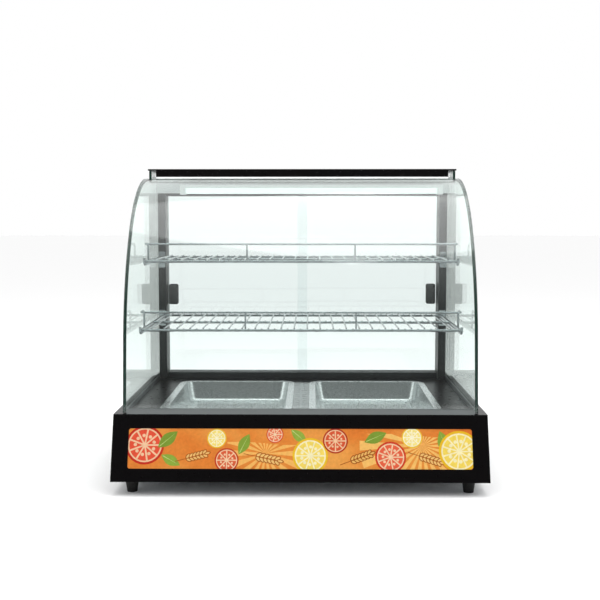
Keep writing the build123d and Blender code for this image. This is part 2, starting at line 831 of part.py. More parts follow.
# Channels that hold the side glasses
y_channel_front = lean_point(glass_thickness + channel_wall, channel_height)[0] + silicone
channel_outer = glass_thickness + 2 * channel_wall
x_channel = cabinet_half - glass_thickness / 2
for side, x in (("left", -x_channel), ("right", x_channel)):
    with BuildPart() as side_channel:
        with BuildSketch(Plane.XZ.offset(-y_channel_front)):
            with Locations((x, z_deck + channel_height / 2)):
                Rectangle(channel_outer, channel_height)
            with Locations((x, z_deck + glass_seat - fit_gap + channel_height / 2)):
                Rectangle(glass_thickness + 2 * fit_gap, channel_height, mode=Mode.SUBTRACT)
        extrude(amount=y_channel_front - y_side_rear)
    side_channel.part.label = f"side_channel_{side}"
    export_step(side_channel.part, f"parts/side_channel_{side}.step")

# Pressed top cap: a plate over the full width with flanges set in from its ends
cap_depth = y_rear - cap_rear_inset - y_cap
cap_middle = y_cap + cap_depth / 2
flange_width = cabinet_width - 2 * cap_end_inset
with BuildPart() as top_cap:
    with BuildSketch(Plane.XY.offset(z_cap_top - cap_sheet)):
        with Locations((0, cap_middle)):
            Rectangle(cabinet_width, cap_depth)
    extrude(amount=cap_sheet)
    with BuildSketch(Plane.XY.offset(z_cap_bottom)):
        with Locations((0, cap_middle)):
            Rectangle(flange_width, cap_depth)
            Rectangle(flange_width - 2 * cap_sheet, cap_depth - 2 * cap_sheet, mode=Mode.SUBTRACT)
    extrude(amount=cap_height - cap_sheet)
    fillet(top_cap.edges().filter_by(Axis.X).group_by(Axis.Z)[-1], radius=cap_sheet / 2)
top_cap.part.label = "top_cap"
export_step(top_cap.part, "parts/top_cap.step")

# White seal between the top edge of the curved glass and the cap
with BuildPart() as front_top_seal:
    with BuildSketch(Plane.XY.offset(z_glass_top)):
        with Locations((0, y_cap + cap_seal_width / 2)):
            Rectangle(flange_width, cap_seal_width)
    extrude(amount=cap_seal)
front_top_seal.part.label = "front_top_seal"
export_step(front_top_seal.part, "parts/front_top_seal.step")

# Rear posts: square tubes between the deck and the cap, just inside the side glasses
x_post_outer = glass_inner_half - channel_wall - silicone
x_post = x_post_outer - post_width / 2
y_post = y_post_front + post_depth / 2
for side, x in (("left", -x_post), ("right", x_post)):
    with BuildPart() as rear_post:
        with BuildSketch(Plane.XY.offset(z_deck)):
            with Locations((x, y_post)):
                RectangleRounded(post_width, post_depth, post_wall / 2)
                Rectangle(post_width - 2 * post_wall, post_depth - 2 * post_wall, mode=Mode.SUBTRACT)
        extrude(amount=z_cap_bottom - z_deck)
    rear_post.part.label = f"rear_post_{side}"
    export_step(rear_post.part, f"parts/rear_post_{side}.step")

# Canopy: a folded white sheet under the cap, whose front face carries the lamp
y_canopy = y_post_front - canopy_gap
y_canopy_start = y_cap + glass_tuck + silicone
z_canopy = z_cap_bottom - canopy_drop
canopy_half = glass_inner_half - silicone
with BuildPart() as canopy_liner:
    with BuildSketch(Plane.YZ):
        with BuildLine():
            Polyline(
                (y_canopy_start, z_cap_bottom),
                (y_canopy, z_cap_bottom),
                (y_canopy, z_canopy),
                (y_canopy - canopy_sheet, z_canopy),
                (y_canopy - canopy_sheet, z_cap_bottom - canopy_sheet),
                (y_canopy_start, z_cap_bottom - canopy_sheet),
                close=True,
            )
        make_face()
    extrude(amount=canopy_half, both=True)
canopy_liner.part.label = "canopy_liner"
export_step(canopy_liner.part, "parts/canopy_liner.step")

# Double track above the doors and double sill below them
x_track = x_post - post_width / 2 - silicone
track_depth = door_pitch + 2 * track_lip
y_track_front = y_side_rear + track_overhang - track_depth
y_track = y_track_front + track_depth / 2
door_lines = {"left": y_track_front + track_lip, "right": y_track_front + track_lip + door_pitch}
groove_width = door_thickness + 2 * door_clearance
z_header = z_cap_bottom - header_height
z_sill = z_deck + sill_height
for name, z_low, z_high, z_groove, depth in (
    ("door_header", z_header, z_cap_bottom, z_header, header_groove),
    ("door_sill", z_deck, z_sill, z_sill - sill_groove, sill_groove),
):
    with BuildPart() as track:
        with BuildSketch(Plane.XY.offset(z_low)):
            with Locations((0, y_track)):
                Rectangle(2 * x_track, track_depth)
        extrude(amount=z_high - z_low)
        with BuildSketch(Plane.XY.offset(z_groove)):
            for line in door_lines.values():
                with Locations((0, line)):
                    Rectangle(2 * x_track, groove_width)
        extrude(amount=depth, mode=Mode.SUBTRACT)
    track.part.label = name
    export_step(track.part, f"parts/{name}.step")

# Sliding glass doors, each with a grip glued to its rear face
door_width = x_track - seat_gap + door_overlap / 2
z_door = z_sill - sill_groove + door_clearance
door_height = z_header + door_bite - z_door
x_door = (x_track - seat_gap) - door_width / 2
x_handle = x_track - seat_gap - handle_end_gap - handle_width / 2
for side, sign in (("left", -1), ("right", 1)):
    y_door = door_lines[side]
    with BuildPart() as door:
        with BuildSketch(Plane.XY.offset(z_door)):
            with Locations((sign * x_door, y_door)):
                Rectangle(door_width, door_thickness)
        extrude(amount=door_height)
    door.part.label = f"door_glass_{side}"
    export_step(door.part, f"parts/door_glass_{side}.step")

    with BuildPart() as handle:
        with BuildSketch(Plane.XZ.offset(-y_door - door_thickness / 2)):
            with Locations((sign * x_handle, z_deck + handle_above_deck)):
                RectangleRounded(handle_width, handle_height, handle_corner)
        extrude(amount=-handle_thickness)
        with BuildSketch(Plane.XZ.offset(-y_door - door_thickness / 2 - handle_thickness)):
            with Locations((sign * x_handle, z_deck + handle_above_deck)):
                SlotOverall(handle_height - 2 * handle_corner, handle_width / 2, rotation=90)
        extrude(amount=handle_dish, mode=Mode.SUBTRACT)
    handle.part.label = f"door_handle_{side}"
    export_step(handle.part, f"parts/door_handle_{side}.step")

# Lamp: a batten on the canopy's face, two holders and a tube between them
lamp_length = cabinet_width - lamp_room
y_lamp = y_canopy - canopy_sheet - batten_depth / 2
z_batten = z_canopy + lamp_stand
z_tube = z_batten - tube_radius - seat_gap
with BuildPart() as lamp_batten:
    with BuildSketch(Plane.XY.offset(z_batten)):
        with Locations((lamp_shift, y_lamp)):
            Rectangle(lamp_length, batten_depth)
    extrude(amount=batten_height)
    fillet(lamp_batten.edges().filter_by(Axis.X).sort_by(Axis.Y)[0:2], radius=canopy_sheet)
lamp_batten.part.label = "lamp_batten"
export_step(lamp_batten.part, "parts/lamp_batten.step")

tube_length = lamp_length - 2 * holder_width + 2 * holder_bite
with BuildPart() as lamp_holders:
    with BuildSketch(Plane.XY.offset(z_batten)):
        with Locations((lamp_shift, y_lamp)):
            with GridLocations(lamp_length - holder_width, 1, 2, 1):
                Rectangle(holder_width, holder_depth)
    extrude(amount=-holder_height)
    with BuildSketch(Plane.YZ.offset(lamp_shift)):
        with Locations((y_lamp, z_tube)):
            Circle(tube_radius + fit_gap)
    extrude(amount=tube_length / 2 + fit_gap, both=True, mode=Mode.SUBTRACT)
lamp_holders.part.label = "lamp_holders"
export_step(lamp_holders.part, "parts/lamp_holders.step")

with BuildPart() as lamp_tube:
    with BuildSketch(Plane.YZ.offset(lamp_shift)):
        with Locations((y_lamp, z_tube)):
            Circle(tube_radius)
    extrude(amount=tube_length / 2, both=True)
lamp_tube.part.label = "lamp_tube"
export_step(lamp_tube.part, "parts/lamp_tube.step")


# Wire shelves: a round frame, a middle rail and slats welded on top, with a guard along the front
shelf_half_width = glass_inner_half - shelf_side_gap
slat_count = int((2 * shelf_half_width - 2 * shelf_corner) // slat_pitch) + 1
y_shelf_back = y_post_front - shelf_back_gap
for level, front in shelf_fronts.items():
    z_shelf = z_deck + shelf_heights[level]
    y_front = y_deck + front
    z_frame = z_shelf - 2 * slat_wire + weld - frame_wire
    x_frame = shelf_half_width - frame_wire
    y_frame_front = y_front + frame_wire
    y_frame_back = y_shelf_back - frame_wire
    y_middle = (y_frame_front + y_frame_back) / 2
    with BuildPart() as shelf:
        with BuildLine() as frame_route:
            FilletPolyline(
                (0, y_frame_front, z_frame),
                (x_frame, y_frame_front, z_frame),
                (x_frame, y_frame_back, z_frame),
                (0, y_frame_back, z_frame),
                radius=shelf_corner,
            )
        with BuildSketch(Plane.YZ):
            with Locations((y_frame_front, z_frame)):
                Circle(frame_wire)
        sweep(path=frame_route.line)
        mirror(about=Plane.YZ)
        with BuildSketch(Plane.YZ):
            with Locations((y_middle, z_frame)):
                Circle(frame_wire)
        extrude(amount=x_frame, both=True)
        with BuildSketch(Plane.XZ.offset(-y_frame_front)):
            with Locations((0, z_shelf - slat_wire)):
                with GridLocations(slat_pitch, 1, slat_count, 1):
                    Circle(slat_wire)
        extrude(amount=y_frame_front - y_frame_back)
    shelf.part.label = f"shelf_{level}"
    export_step(shelf.part, f"parts/shelf_{level}.step")

    z_guard = z_shelf + guard_height - guard_wire
    z_leg = z_frame + frame_wire
    with BuildPart() as guard:
        with BuildLine() as guard_route:
            FilletPolyline(
                (-x_frame, y_frame_front + guard_return, z_leg),
                (-x_frame, y_frame_front + guard_return, z_guard),
                (-x_frame, y_frame_front, z_guard),
                (x_frame, y_frame_front, z_guard),
                (x_frame, y_frame_front + guard_return, z_guard),
                (x_frame, y_frame_front + guard_return, z_leg),
                radius=guard_bend,
            )
        with BuildSketch(Plane.XY.offset(z_leg)):
            with Locations((-x_frame, y_frame_front + guard_return)):
                Circle(guard_wire)
        sweep(path=guard_route.line)
        with BuildSketch(Plane.XY.offset(z_leg)):
            with Locations((-guard_upright_x, y_frame_front), (guard_upright_x, y_frame_front)):
                Circle(guard_upright_wire)
        extrude(amount=z_guard - z_leg)
    guard.part.label = f"shelf_{level}_guard"
    export_step(guard.part, f"parts/shelf_{level}_guard.step")

    # Hangers: a plate on each post with an arm under the shelf's side, turned up in front of it
    z_arm = z_frame - frame_wire - seat_gap - hanger_wire
    y_plate = y_post_front - hanger_plate_thickness
    y_tip = y_front - seat_gap - hanger_wire
    for side, sign in (("left", -1), ("right", 1)):
        with BuildPart() as hanger:
            with BuildSketch(Plane.XZ.offset(-y_plate)):
                with Locations((sign * x_post, z_arm)):
                    RectangleRounded(hanger_plate_width, hanger_plate_height, hanger_wire)
            extrude(amount=-hanger_plate_thickness)
            with BuildLine() as arm_route:
                FilletPolyline(
                    (sign * x_frame, y_plate, z_arm),
                    (sign * x_frame, y_tip, z_arm),
                    (sign * x_frame, y_tip, z_arm + hanger_tip),
                    radius=hanger_bend,
                )
            with BuildSketch(Plane.XZ.offset(-y_plate)):
                with Locations((sign * x_frame, z_arm)):
                    Circle(hanger_wire)
            sweep(path=arm_route.line)
        hanger.part.label = f"hanger_{level}_{side}"
        export_step(hanger.part, f"parts/hanger_{level}_{side}.step")

print("height", round(z_cap_top, 2), "door travel", round(x_track - seat_gap - door_overlap / 2, 2))
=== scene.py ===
# %% [markdown]
# # Curved glass food warmer
# The real object is a counter-top cabinet: a black enamelled base with a lit print in its
# slanted front, two steel pans over a water tank, a bent glass front, two wire shelves and
# sliding glass doors at the back.
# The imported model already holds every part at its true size, so this script keeps those
# shapes, gives each one its finish, and adds what is too fine or too decorative for CAD.

import json
import math

import bmesh
import bpy
from mathutils import Matrix, Vector


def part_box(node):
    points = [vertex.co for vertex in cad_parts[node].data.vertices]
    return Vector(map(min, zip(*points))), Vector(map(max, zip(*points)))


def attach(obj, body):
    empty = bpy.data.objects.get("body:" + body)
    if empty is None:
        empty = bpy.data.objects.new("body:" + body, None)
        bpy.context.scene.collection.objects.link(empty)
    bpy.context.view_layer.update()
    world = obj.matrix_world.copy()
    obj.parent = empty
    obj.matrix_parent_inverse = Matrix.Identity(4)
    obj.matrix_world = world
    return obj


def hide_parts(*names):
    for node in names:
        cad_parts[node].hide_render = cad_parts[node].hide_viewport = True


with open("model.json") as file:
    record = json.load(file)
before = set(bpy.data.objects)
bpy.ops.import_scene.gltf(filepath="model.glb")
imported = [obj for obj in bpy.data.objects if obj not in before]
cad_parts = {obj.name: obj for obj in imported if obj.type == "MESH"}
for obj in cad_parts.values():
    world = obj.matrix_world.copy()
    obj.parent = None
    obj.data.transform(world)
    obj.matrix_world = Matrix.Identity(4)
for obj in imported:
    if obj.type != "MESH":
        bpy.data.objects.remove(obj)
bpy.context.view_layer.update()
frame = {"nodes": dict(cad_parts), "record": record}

# %% [markdown]
# ## Measures taken from the frame
# Every added piece is placed from the corners of the part it sits on. Pitches and small
# sizes, which corners don't tell, are named where they are used. All lengths are metres.

# %% Places
mm = 0.001
deck_low, deck_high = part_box("top_deck")
shell_low, shell_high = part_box("base_shell")
panel_low, panel_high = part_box("rear_panel")
print_low, print_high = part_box("print_panel")
deck_top = deck_high.z
print("deck", round(deck_top, 4), "base width", round(shell_high.x - shell_low.x, 4))

# %% [markdown]
# ## Small helpers
# Colours are picked as sRGB hex values, as a paint chart gives them, and the renderer wants
# linear light, so one function converts them. Another adds a shader or geometry node with
# its settings and links in a single call. Four short ones on top of it add the nodes that
# come up again and again: noise, a change of range, a step of arithmetic and a mix of two
# shaders.


# %% Colour and node helpers
def linear(hex_colour):
    """Linear RGBA of an sRGB hex colour such as 1a1a1c."""
    channels = [int(hex_colour[i : i + 2], 16) / 255 for i in (0, 2, 4)]
    light = (c / 12.92 if c <= 0.04045 else ((c + 0.055) / 1.055) ** 2.4 for c in channels)
    return (*light, 1.0)


def polar(radius, angle):
    """The x and y of a point on a circle about the origin."""
    return radius * math.cos(angle), radius * math.sin(angle)


def add_node(tree, kind, values=None, **settings):
    """Add a node; values maps its inputs to numbers or to another node's output socket."""
    node = tree.nodes.new(kind)
    for name, setting in settings.items():
        setattr(node, name, setting)
    for key, value in (values or {}).items():
        if isinstance(value, bpy.types.NodeSocket):
            tree.links.new(value, node.inputs[key])
        else:
            node.inputs[key].default_value = value
    return node


def noise(tree, place, size_mm, detail):
    """Noise whose blotches are about size_mm across."""
    values = {"Vector": place, "Scale": 1 / (size_mm * mm), "Detail": detail}
    return add_node(tree, "ShaderNodeTexNoise", values).outputs["Fac"]


def remap(tree, value, before, after):
    """Carry a value from one (low, high) range to another."""
    ends = {"From Min": before[0], "From Max": before[1], "To Min": after[0], "To Max": after[1]}
    return add_node(tree, "ShaderNodeMapRange", {"Value": value, **ends}).outputs[0]


def work_out(tree, operation, first, second=0.0):
    """One step of arithmetic on sockets or numbers."""
    return add_node(tree, "ShaderNodeMath", {0: first, 1: second}, operation=operation).outputs[0]


def mix_shaders(tree, share, first, second):
    """Blend two shader nodes; a share of 0 is all the first and 1 is all the second."""
    values = {0: share, 1: first.outputs[0], 2: second.outputs[0]}
    return add_node(tree, "ShaderNodeMixShader", values)


def empty_material(name):
    """A material with an empty node tree."""
    material = bpy.data.materials.new(name)
    material.use_nodes = True
    material.node_tree.nodes.clear()
    return material, material.node_tree


def set_ramp(ramp, stops):
    """Give a Color Ramp node its stops, as (place, colour) pairs."""
    elements = ramp.color_ramp.elements
    while len(elements) > 1:
        elements.remove(elements[-1])
    elements[0].position, elements[0].color = stops[0]
    for place, colour in stops[1:]:
        elements.new(place).color = colour
    return ramp


print("mid grey in linear light", [round(c, 3) for c in linear("808080")])

# %% [markdown]
# ## Solid finishes
# Most parts are one stuff all over: enamel, plastic, rubber, plated steel. What makes such
# a surface look real is small: a slow drift of tone, a fine grain in the gloss, and edges
# that catch the light. One function makes the first two from noise on Object coordinates,
# whose scale is one over a real size in millimetres. The Bevel node makes the third: it
# rounds the normals at hard edges, so a folded sheet catches light there.


# %% A function for solid finishes
def solid_finish(
    name,
    base,
    drift,
    drift_mm=60,
    grain_mm=1.5,
    grain_height=0.003,
    gloss=(0.3, 0.4),
    metallic=0.0,
    specular=0.5,
    stretch=(1, 1, 1),
    edge_mm=0.6,
    coat=0.0,
    glow=0.0,
):
    """Finish with a drift of tone between two colours, a grain and softened edges."""
    material, tree = empty_material(name)
    place = add_node(tree, "ShaderNodeTexCoord").outputs["Object"]
    place = add_node(tree, "ShaderNodeMapping", {"Vector": place, "Scale": stretch}).outputs[0]
    slow = noise(tree, place, drift_mm, 4)
    fine = noise(tree, place, grain_mm, 2)
    # A Mix node has inputs of one name for each kind of data, so its colours are set by place
    colours = {0: slow, 6: linear(base), 7: linear(drift)}
    tone = add_node(tree, "ShaderNodeMix", colours, data_type="RGBA").outputs[2]
    blur = remap(tree, fine, (0.3, 0.7), gloss)
    edge = add_node(tree, "ShaderNodeBevel", {"Radius": edge_mm * mm}, samples=4)
    relief = {"Height": fine, "Distance": grain_height * mm, "Strength": 1.0}
    bump = add_node(tree, "ShaderNodeBump", {**relief, "Normal": edge.outputs[0]})
    shader = add_node(
        tree,
        "ShaderNodeBsdfPrincipled",
        {
            "Base Color": tone,
            "Roughness": blur,
            "Normal": bump.outputs[0],
            "Metallic": metallic,
            "Specular IOR Level": specular,
            "Coat Weight": coat,
        },
    )
    if glow:
        tree.links.new(tone, shader.inputs["Emission Color"])
        shader.inputs["Emission Strength"].default_value = glow
    add_node(tree, "ShaderNodeOutputMaterial", {"Surface": shader.outputs[0]})
    return material


# %% [markdown]
# ## Black enamel, rubber and plastics
# Stoved enamel on sheet steel is near black with a tight gloss and a faint orange peel nine
# millimetres across. Moulded nylon is duller, with spark-eroded grain of about half a
# millimetre. Rubber feet are matt and a little dusty. Phenolic is hard and glossy.

# %% Dark finishes
finishes = {
    "black_enamel": solid_finish(
        "stoved_black_enamel", "050405", "080607", grain_mm=9.0, grain_height=0.0002,
        gloss=(0.27, 0.31), specular=0.14, edge_mm=0.8,
    ),
    "black_post": solid_finish(
        "satin_black_enamel", "101212", "1a1d1d", grain_mm=2.0, grain_height=0.002,
        gloss=(0.4, 0.5), specular=0.45,
    ),
    "dark_rail": solid_finish(
        "satin_dark_grey_enamel", "1c1f20", "272a2c", grain_mm=2.0, grain_height=0.002,
        gloss=(0.38, 0.5),
    ),
    "black_plastic": solid_finish(
        "moulded_nylon", "0d0d0e", "161617", grain_mm=0.6, grain_height=0.006,
        gloss=(0.42, 0.55), edge_mm=0.5,
    ),
    "black_knob": solid_finish(
        "moulded_phenolic", "0a0a0b", "111113", grain_mm=1.0, gloss=(0.16, 0.24), edge_mm=0.5,
    ),
    "foot_rubber": solid_finish(
        "black_rubber", "0c0c0c", "1c1b1a", drift_mm=12, grain_mm=0.8, grain_height=0.02,
        gloss=(0.6, 0.8), specular=0.3,
    ),
}
print("dark finishes", len(finishes))

# %% [markdown]
# ## White and coloured finishes
# The canopy and the lamp's batten are white enamelled sheet, the holders are moulded, and
# the seal is silicone, with a painted glow that stands in for the lamp's light through it.
# Lenses and rockers are clear plastic with dye in it, so they have a deep colour and a hard
# gloss. The lenses are lit indicator lamps; the rockers carry a faint painted glow.

# %% Pale and coloured finishes
finishes |= {
    "white_enamel": solid_finish("reflector_enamel", "e9e8e2", "f3f2ee", gloss=(0.3, 0.42)),
    "canopy_white": solid_finish("canopy_enamel", "c9cccc", "d3d6d6", gloss=(0.4, 0.55)),
    "white_batten": solid_finish("batten_enamel", "e2e6e5", "edf0ef", gloss=(0.3, 0.4)),
    "white_holder": solid_finish("moulded_holder", "e8ebea", "f1f3f2", gloss=(0.25, 0.35)),
    # The seal's glow is painted light standing in for the lamp's light through the silicone
    "white_seal": solid_finish("silicone_strip_painted_glow", "e4e6e5", "eff0ef", gloss=(0.5, 0.65), glow=0.45),
    "lit_tube": solid_finish("opal_lamp_tube", "e3eeea", "edf4f1", gloss=(0.2, 0.3), glow=0.5),
    "led_board": solid_finish("circuit_board", "d9dcd0", "f0f0e8", grain_mm=4, gloss=(0.3, 0.5)),
    "driver_case": solid_finish("driver_moulding", "c9cac9", "d8d9d8", gloss=(0.4, 0.5)),
    "terminal_ceramic": solid_finish(
        "unglazed_ceramic", "d8d2c4", "e6e1d5", grain_mm=0.8, grain_height=0.06, gloss=(0.6, 0.8),
    ),
    # The rockers' small glow is painted light, a faint glow put into the dyed plastic
    "red_rocker": solid_finish(
        "dyed_red_plastic_painted_glow", "a0100e", "b81814", gloss=(0.12, 0.2), coat=0.3, glow=0.12,
    ),
    "green_rocker": solid_finish(
        "dyed_green_plastic_painted_glow", "0d6a26", "138034", gloss=(0.12, 0.2), coat=0.3, glow=0.12,
    ),
    "red_lens": solid_finish("red_lens_plastic", "b3120e", "d42018", gloss=(0.08, 0.14), glow=0.5),
    "amber_lens": solid_finish(
        "amber_lens_plastic", "d9780a", "f09214", gloss=(0.08, 0.14), glow=0.5,
    ),
}
print("finishes so far", len(finishes))

# %% [markdown]
# ## Bare metals
# Rolled or brushed sheet has scratches that run one way, so its noise is stretched along
# that way. Zinc plating and galvanising have a mottle instead. The pans are deep drawn and
# polished, and the shelves are bright chrome, which is mostly what it reflects.

# %% Metals
finishes |= {
    "pan_steel": solid_finish(
        "polished_stainless", "d3d6d7", "dcdfdf", drift_mm=90, grain_mm=0.8, grain_height=0.0004,
        gloss=(0.25, 0.31), metallic=1.0, stretch=(1, 0.04, 1), edge_mm=1.2,
    ),
    "tank_steel": solid_finish(
        "rolled_stainless", "a7a9aa", "b6b8b9", grain_mm=1.0, gloss=(0.24, 0.4), metallic=1.0,
        stretch=(0.08, 1, 1),
    ),
    "element_steel": solid_finish(
        "heat_tinted_tube", "6e6253", "8a8279", drift_mm=25, gloss=(0.3, 0.45), metallic=1.0,
    ),
    "galvanised_sheet": solid_finish(
        "galvanised_steel", "8f9497", "a9adb0", drift_mm=14, grain_mm=5, grain_height=0.01,
        gloss=(0.3, 0.55), metallic=1.0,
    ),
    "zinc_screws": solid_finish(
        "zinc_plate", "a3a5a4", "bdbebc", drift_mm=4, grain_mm=0.7, gloss=(0.24, 0.38),
        metallic=1.0, edge_mm=0.3,
    ),
    "thermostat_steel": solid_finish(
        "plated_case", "8d8e8c", "a2a3a1", gloss=(0.3, 0.42), metallic=1.0, edge_mm=0.4,
    ),
    "dial_aluminium": solid_finish(
        "anodised_dial", "b9bcc0", "c5c8cb", grain_mm=0.6, gloss=(0.3, 0.4), metallic=1.0,
        stretch=(1, 1, 0.05), edge_mm=0.3,
    ),
    "copper_probe": solid_finish(
        "drawn_copper", "b0704c", "c48660", drift_mm=20, gloss=(0.22, 0.36), metallic=1.0,
    ),
    "grey_channel": solid_finish(
        "satin_channel", "7d8282", "8b9090", grain_mm=0.8, gloss=(0.3, 0.42), metallic=1.0,
        stretch=(0.05, 0.05, 1), edge_mm=0.3,
    ),
    "chrome_wire": solid_finish(
        "bright_chrome", "8b9092", "9da2a4", drift_mm=30, grain_mm=2.0, grain_height=0.004,
        gloss=(0.07, 0.14), metallic=1.0, edge_mm=0.2,
    ),
}
print("finishes so far", len(finishes))

# %% [markdown]
# ## Glass
# Tempered soda-lime glass is clear through its faces and bottle green along its edges,
# because light that comes out of an edge has travelled the length of the sheet. A
# refracting shader would show that, but it throws black shadows inside a lit cabinet. So
# the faces are a Transparent shader, which lets lamp light through, under a gloss that grows
# as the look gets flatter, and the edges, told from the faces by their normals, are a deep
# green gloss.


# %% A function for glass
def sheet_glass(name, face_axis, clear, edge, haze=0.0):
    """Glass whose faces point along face_axis (0 for X, 1 for Y, None for the bent sheet)."""
    material, tree = empty_material(name)
    coordinates = add_node(tree, "ShaderNodeTexCoord").outputs
    parts = add_node(tree, "ShaderNodeSeparateXYZ", {"Vector": coordinates["Normal"]}).outputs
    along = work_out(tree, "ABSOLUTE", parts[1 if face_axis == 1 else 0])
    # The bent sheet's edges are what points along X; a flat pane's edges are what doesn't
    edge_mask = work_out(tree, "GREATER_THAN", along, 0.5)
    if face_axis is not None:
        edge_mask = work_out(tree, "SUBTRACT", 1.0, edge_mask)
    # Rolled glass is never quite flat: a wave some nine centimetres long moves what it reflects
    wave = noise(tree, coordinates["Object"], 90, 0)
    relief = {"Height": wave, "Distance": 0.03 * mm, "Strength": 0.2}
    ripple = add_node(tree, "ShaderNodeBump", relief).outputs[0]
    through = add_node(tree, "ShaderNodeBsdfTransparent", {"Color": linear(clear)})
    mirror = {"Color": linear("ffffff"), "Roughness": 0.02, "Normal": ripple}
    gloss = add_node(tree, "ShaderNodeBsdfGlossy", mirror)
    # Gloss rises from 4 percent face on to 85 percent at a grazing look. The Fresnel node
    # would turn to a mirror on the sheet's far face, as these rays pass through unbent
    tilt = add_node(tree, "ShaderNodeLayerWeight", {"Blend": 0.5}).outputs["Facing"]
    shine = remap(tree, work_out(tree, "POWER", tilt, 5.0), (0.0, 1.0), (0.04, 0.85))
    face = mix_shaders(tree, shine, through, gloss)
    if haze:
        film = add_node(tree, "ShaderNodeBsdfTranslucent", {"Color": linear("f4fbf9")})
        face = mix_shaders(tree, haze, face, film)
    green = {"Base Color": linear(edge), "Roughness": 0.18, "Specular IOR Level": 0.6}
    rim = add_node(tree, "ShaderNodeBsdfPrincipled", green)
    surface = mix_shaders(tree, edge_mask, face, rim)
    add_node(tree, "ShaderNodeOutputMaterial", {"Surface": surface.outputs[0]})
    return material


finishes |= {
    "curved_glass": sheet_glass("bent_tempered_glass", None, "fbfefd", "17382e", haze=0.004),
    "flat_glass": sheet_glass("side_tempered_glass", 0, "fbfefd", "17382e"),
    "door_glass": sheet_glass("door_tempered_glass", 1, "fbfdfd", "4d7468"),
}
print("glass kinds", 3)

# %% [markdown]
# ## The lit print
# A print on thin acrylic, lit from behind, fills the slanted window. This one is a plain
# design made for this model: round slices, leaves and ears of wheat over two sunbursts on
# warm orange. The ground is a shader, as it is a smooth drift of colour, and the motifs are
# one flat mesh that carries its own colours.

# %% Print ground
slope_rise = shell_high.z - shell_low.z
slope_run = deck_low.y - shell_low.y
slope_tilt = math.atan2(slope_run, slope_rise)
slope_up = Vector((0, math.sin(slope_tilt), math.cos(slope_tilt)))
slope_out = Vector((0, -math.cos(slope_tilt), math.sin(slope_tilt)))
print("slope tilt", round(math.degrees(slope_tilt), 2), "degrees")


def lit_print(name, from_attribute):
    """Back-lit acrylic; its colour drifts by place, or comes from the mesh's own colours."""
    material, tree = empty_material(name)
    place = add_node(tree, "ShaderNodeTexCoord").outputs["Object"]
    if from_attribute:
        colour = add_node(tree, "ShaderNodeAttribute", attribute_name="ink").outputs["Color"]
    else:
        blotch = noise(tree, place, 90, 2)
        colour = set_ramp(
            add_node(tree, "ShaderNodeValToRGB", {"Fac": blotch}),
            [(0.3, linear("e0762a")), (0.5, linear("e88c3a")), (0.7, linear("f0a54e"))],
        ).outputs["Color"]
    # A mottle in the ink keeps large flat colours from looking computed
    shade = remap(tree, noise(tree, place, 5, 5), (0.3, 0.7), (0.86, 1.0))
    inked = add_node(tree, "ShaderNodeVectorMath", {0: colour, 1: shade}, operation="MULTIPLY")
    # Ink on clear acrylic sends back little of the room's light; most comes from behind it
    dimmer = {0: inked.outputs[0], 1: (0.4, 0.4, 0.4)}
    front = add_node(tree, "ShaderNodeVectorMath", dimmer, operation="MULTIPLY")
    shader = add_node(
        tree,
        "ShaderNodeBsdfPrincipled",
        {
            "Base Color": front.outputs[0],
            "Emission Color": inked.outputs[0],
            "Emission Strength": 0.58,
            "Roughness": 0.22,
        },
    )
    add_node(tree, "ShaderNodeOutputMaterial", {"Surface": shader.outputs[0]})
    return material


finishes["printed_acrylic"] = lit_print("lit_print_ground", False)
print_ink = lit_print("lit_print_ink", True)

# %% [markdown]
# ## Give each part its finish
# The record names a slot for every part, and the table above has a finish for every slot.

# %% Assign finishes
slots = {row["node"]: row["material_slot"] for row in frame["record"]["subparts"]}
for name, node in frame["nodes"].items():
    node.data.materials.clear()
    node.data.materials.append(finishes[slots[name]])
print("parts finished", len(slots), "without a finish", sorted(set(slots.values()) - set(finishes)))

# %% [markdown]
# ## One way into the scene
# Added pieces are made as one mesh each, with their place in the points and the object at
# the origin, so that a pattern on Object coordinates stays put.


# %% Mesh helpers
def mesh_from(shape, name):
    """Turn a bmesh into a mesh whose faces point outwards."""
    bmesh.ops.recalc_face_normals(shape, faces=shape.faces)
    mesh = bpy.data.meshes.new(name)
    shape.to_mesh(mesh)
    shape.free()
    return mesh


def finish_piece(name, mesh, slot, body="cabinet", material=None, smooth=False):
    """Put a mesh in the scene with the finish of its slot, or a given material, on its body."""
    mesh.materials.clear()
    mesh.materials.append(material or finishes[slot])
    mesh.polygons.foreach_set("use_smooth", [smooth] * len(mesh.polygons))
    piece = bpy.data.objects.new(name, mesh)
    bpy.context.scene.collection.objects.link(piece)
    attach(piece, body)
    print(name, "faces", len(mesh.polygons))
    return piece


# %% [markdown]
# ## Shapes of the print
# Each motif is drawn flat in the window's own plane, in millimetres from its middle: x
# along the window and y up the slope. A slice is a rind, a ring and a fan of wedges, a leaf
# is two arcs with a rib, and an ear of wheat is pairs of grains on a stem. Each shape lies a
# few thousandths of a millimetre over the one before, under a millimetre in all, and is cut
# off at the window's edge.

# %% Motif outlines
window_middle = (print_low + print_high) / 2
window_overlap = 8 * mm  # how far the print goes on behind each end of the window
window_half_width = (print_high.x - print_low.x) / 2 - window_overlap
window_half_rise = 35 * mm  # up the slope
print_half_thickness = 1.5 * mm
ink_gap = 0.02 * mm
ink_step = 0.12 * ink_gap
ink_shapes = []


def ink(outline, colour):
    """Lay one flat shape over those before it."""
    ink_shapes.append((outline, colour))


def turned(points, x, y, turn=0.0):
    """Points turned about the origin, then moved to x, y."""
    c, s = math.cos(turn), math.sin(turn)
    return [(x + c * u - s * v, y + s * u + c * v) for u, v in points]


def disc(x, y, radius, sides=28, squash=1.0, turn=0.0):
    """Points round a disc or an oval."""
    ring = [polar(radius, 2 * math.pi * k / sides) for k in range(sides)]
    return turned([(u, squash * v) for u, v in ring], x, y, turn)


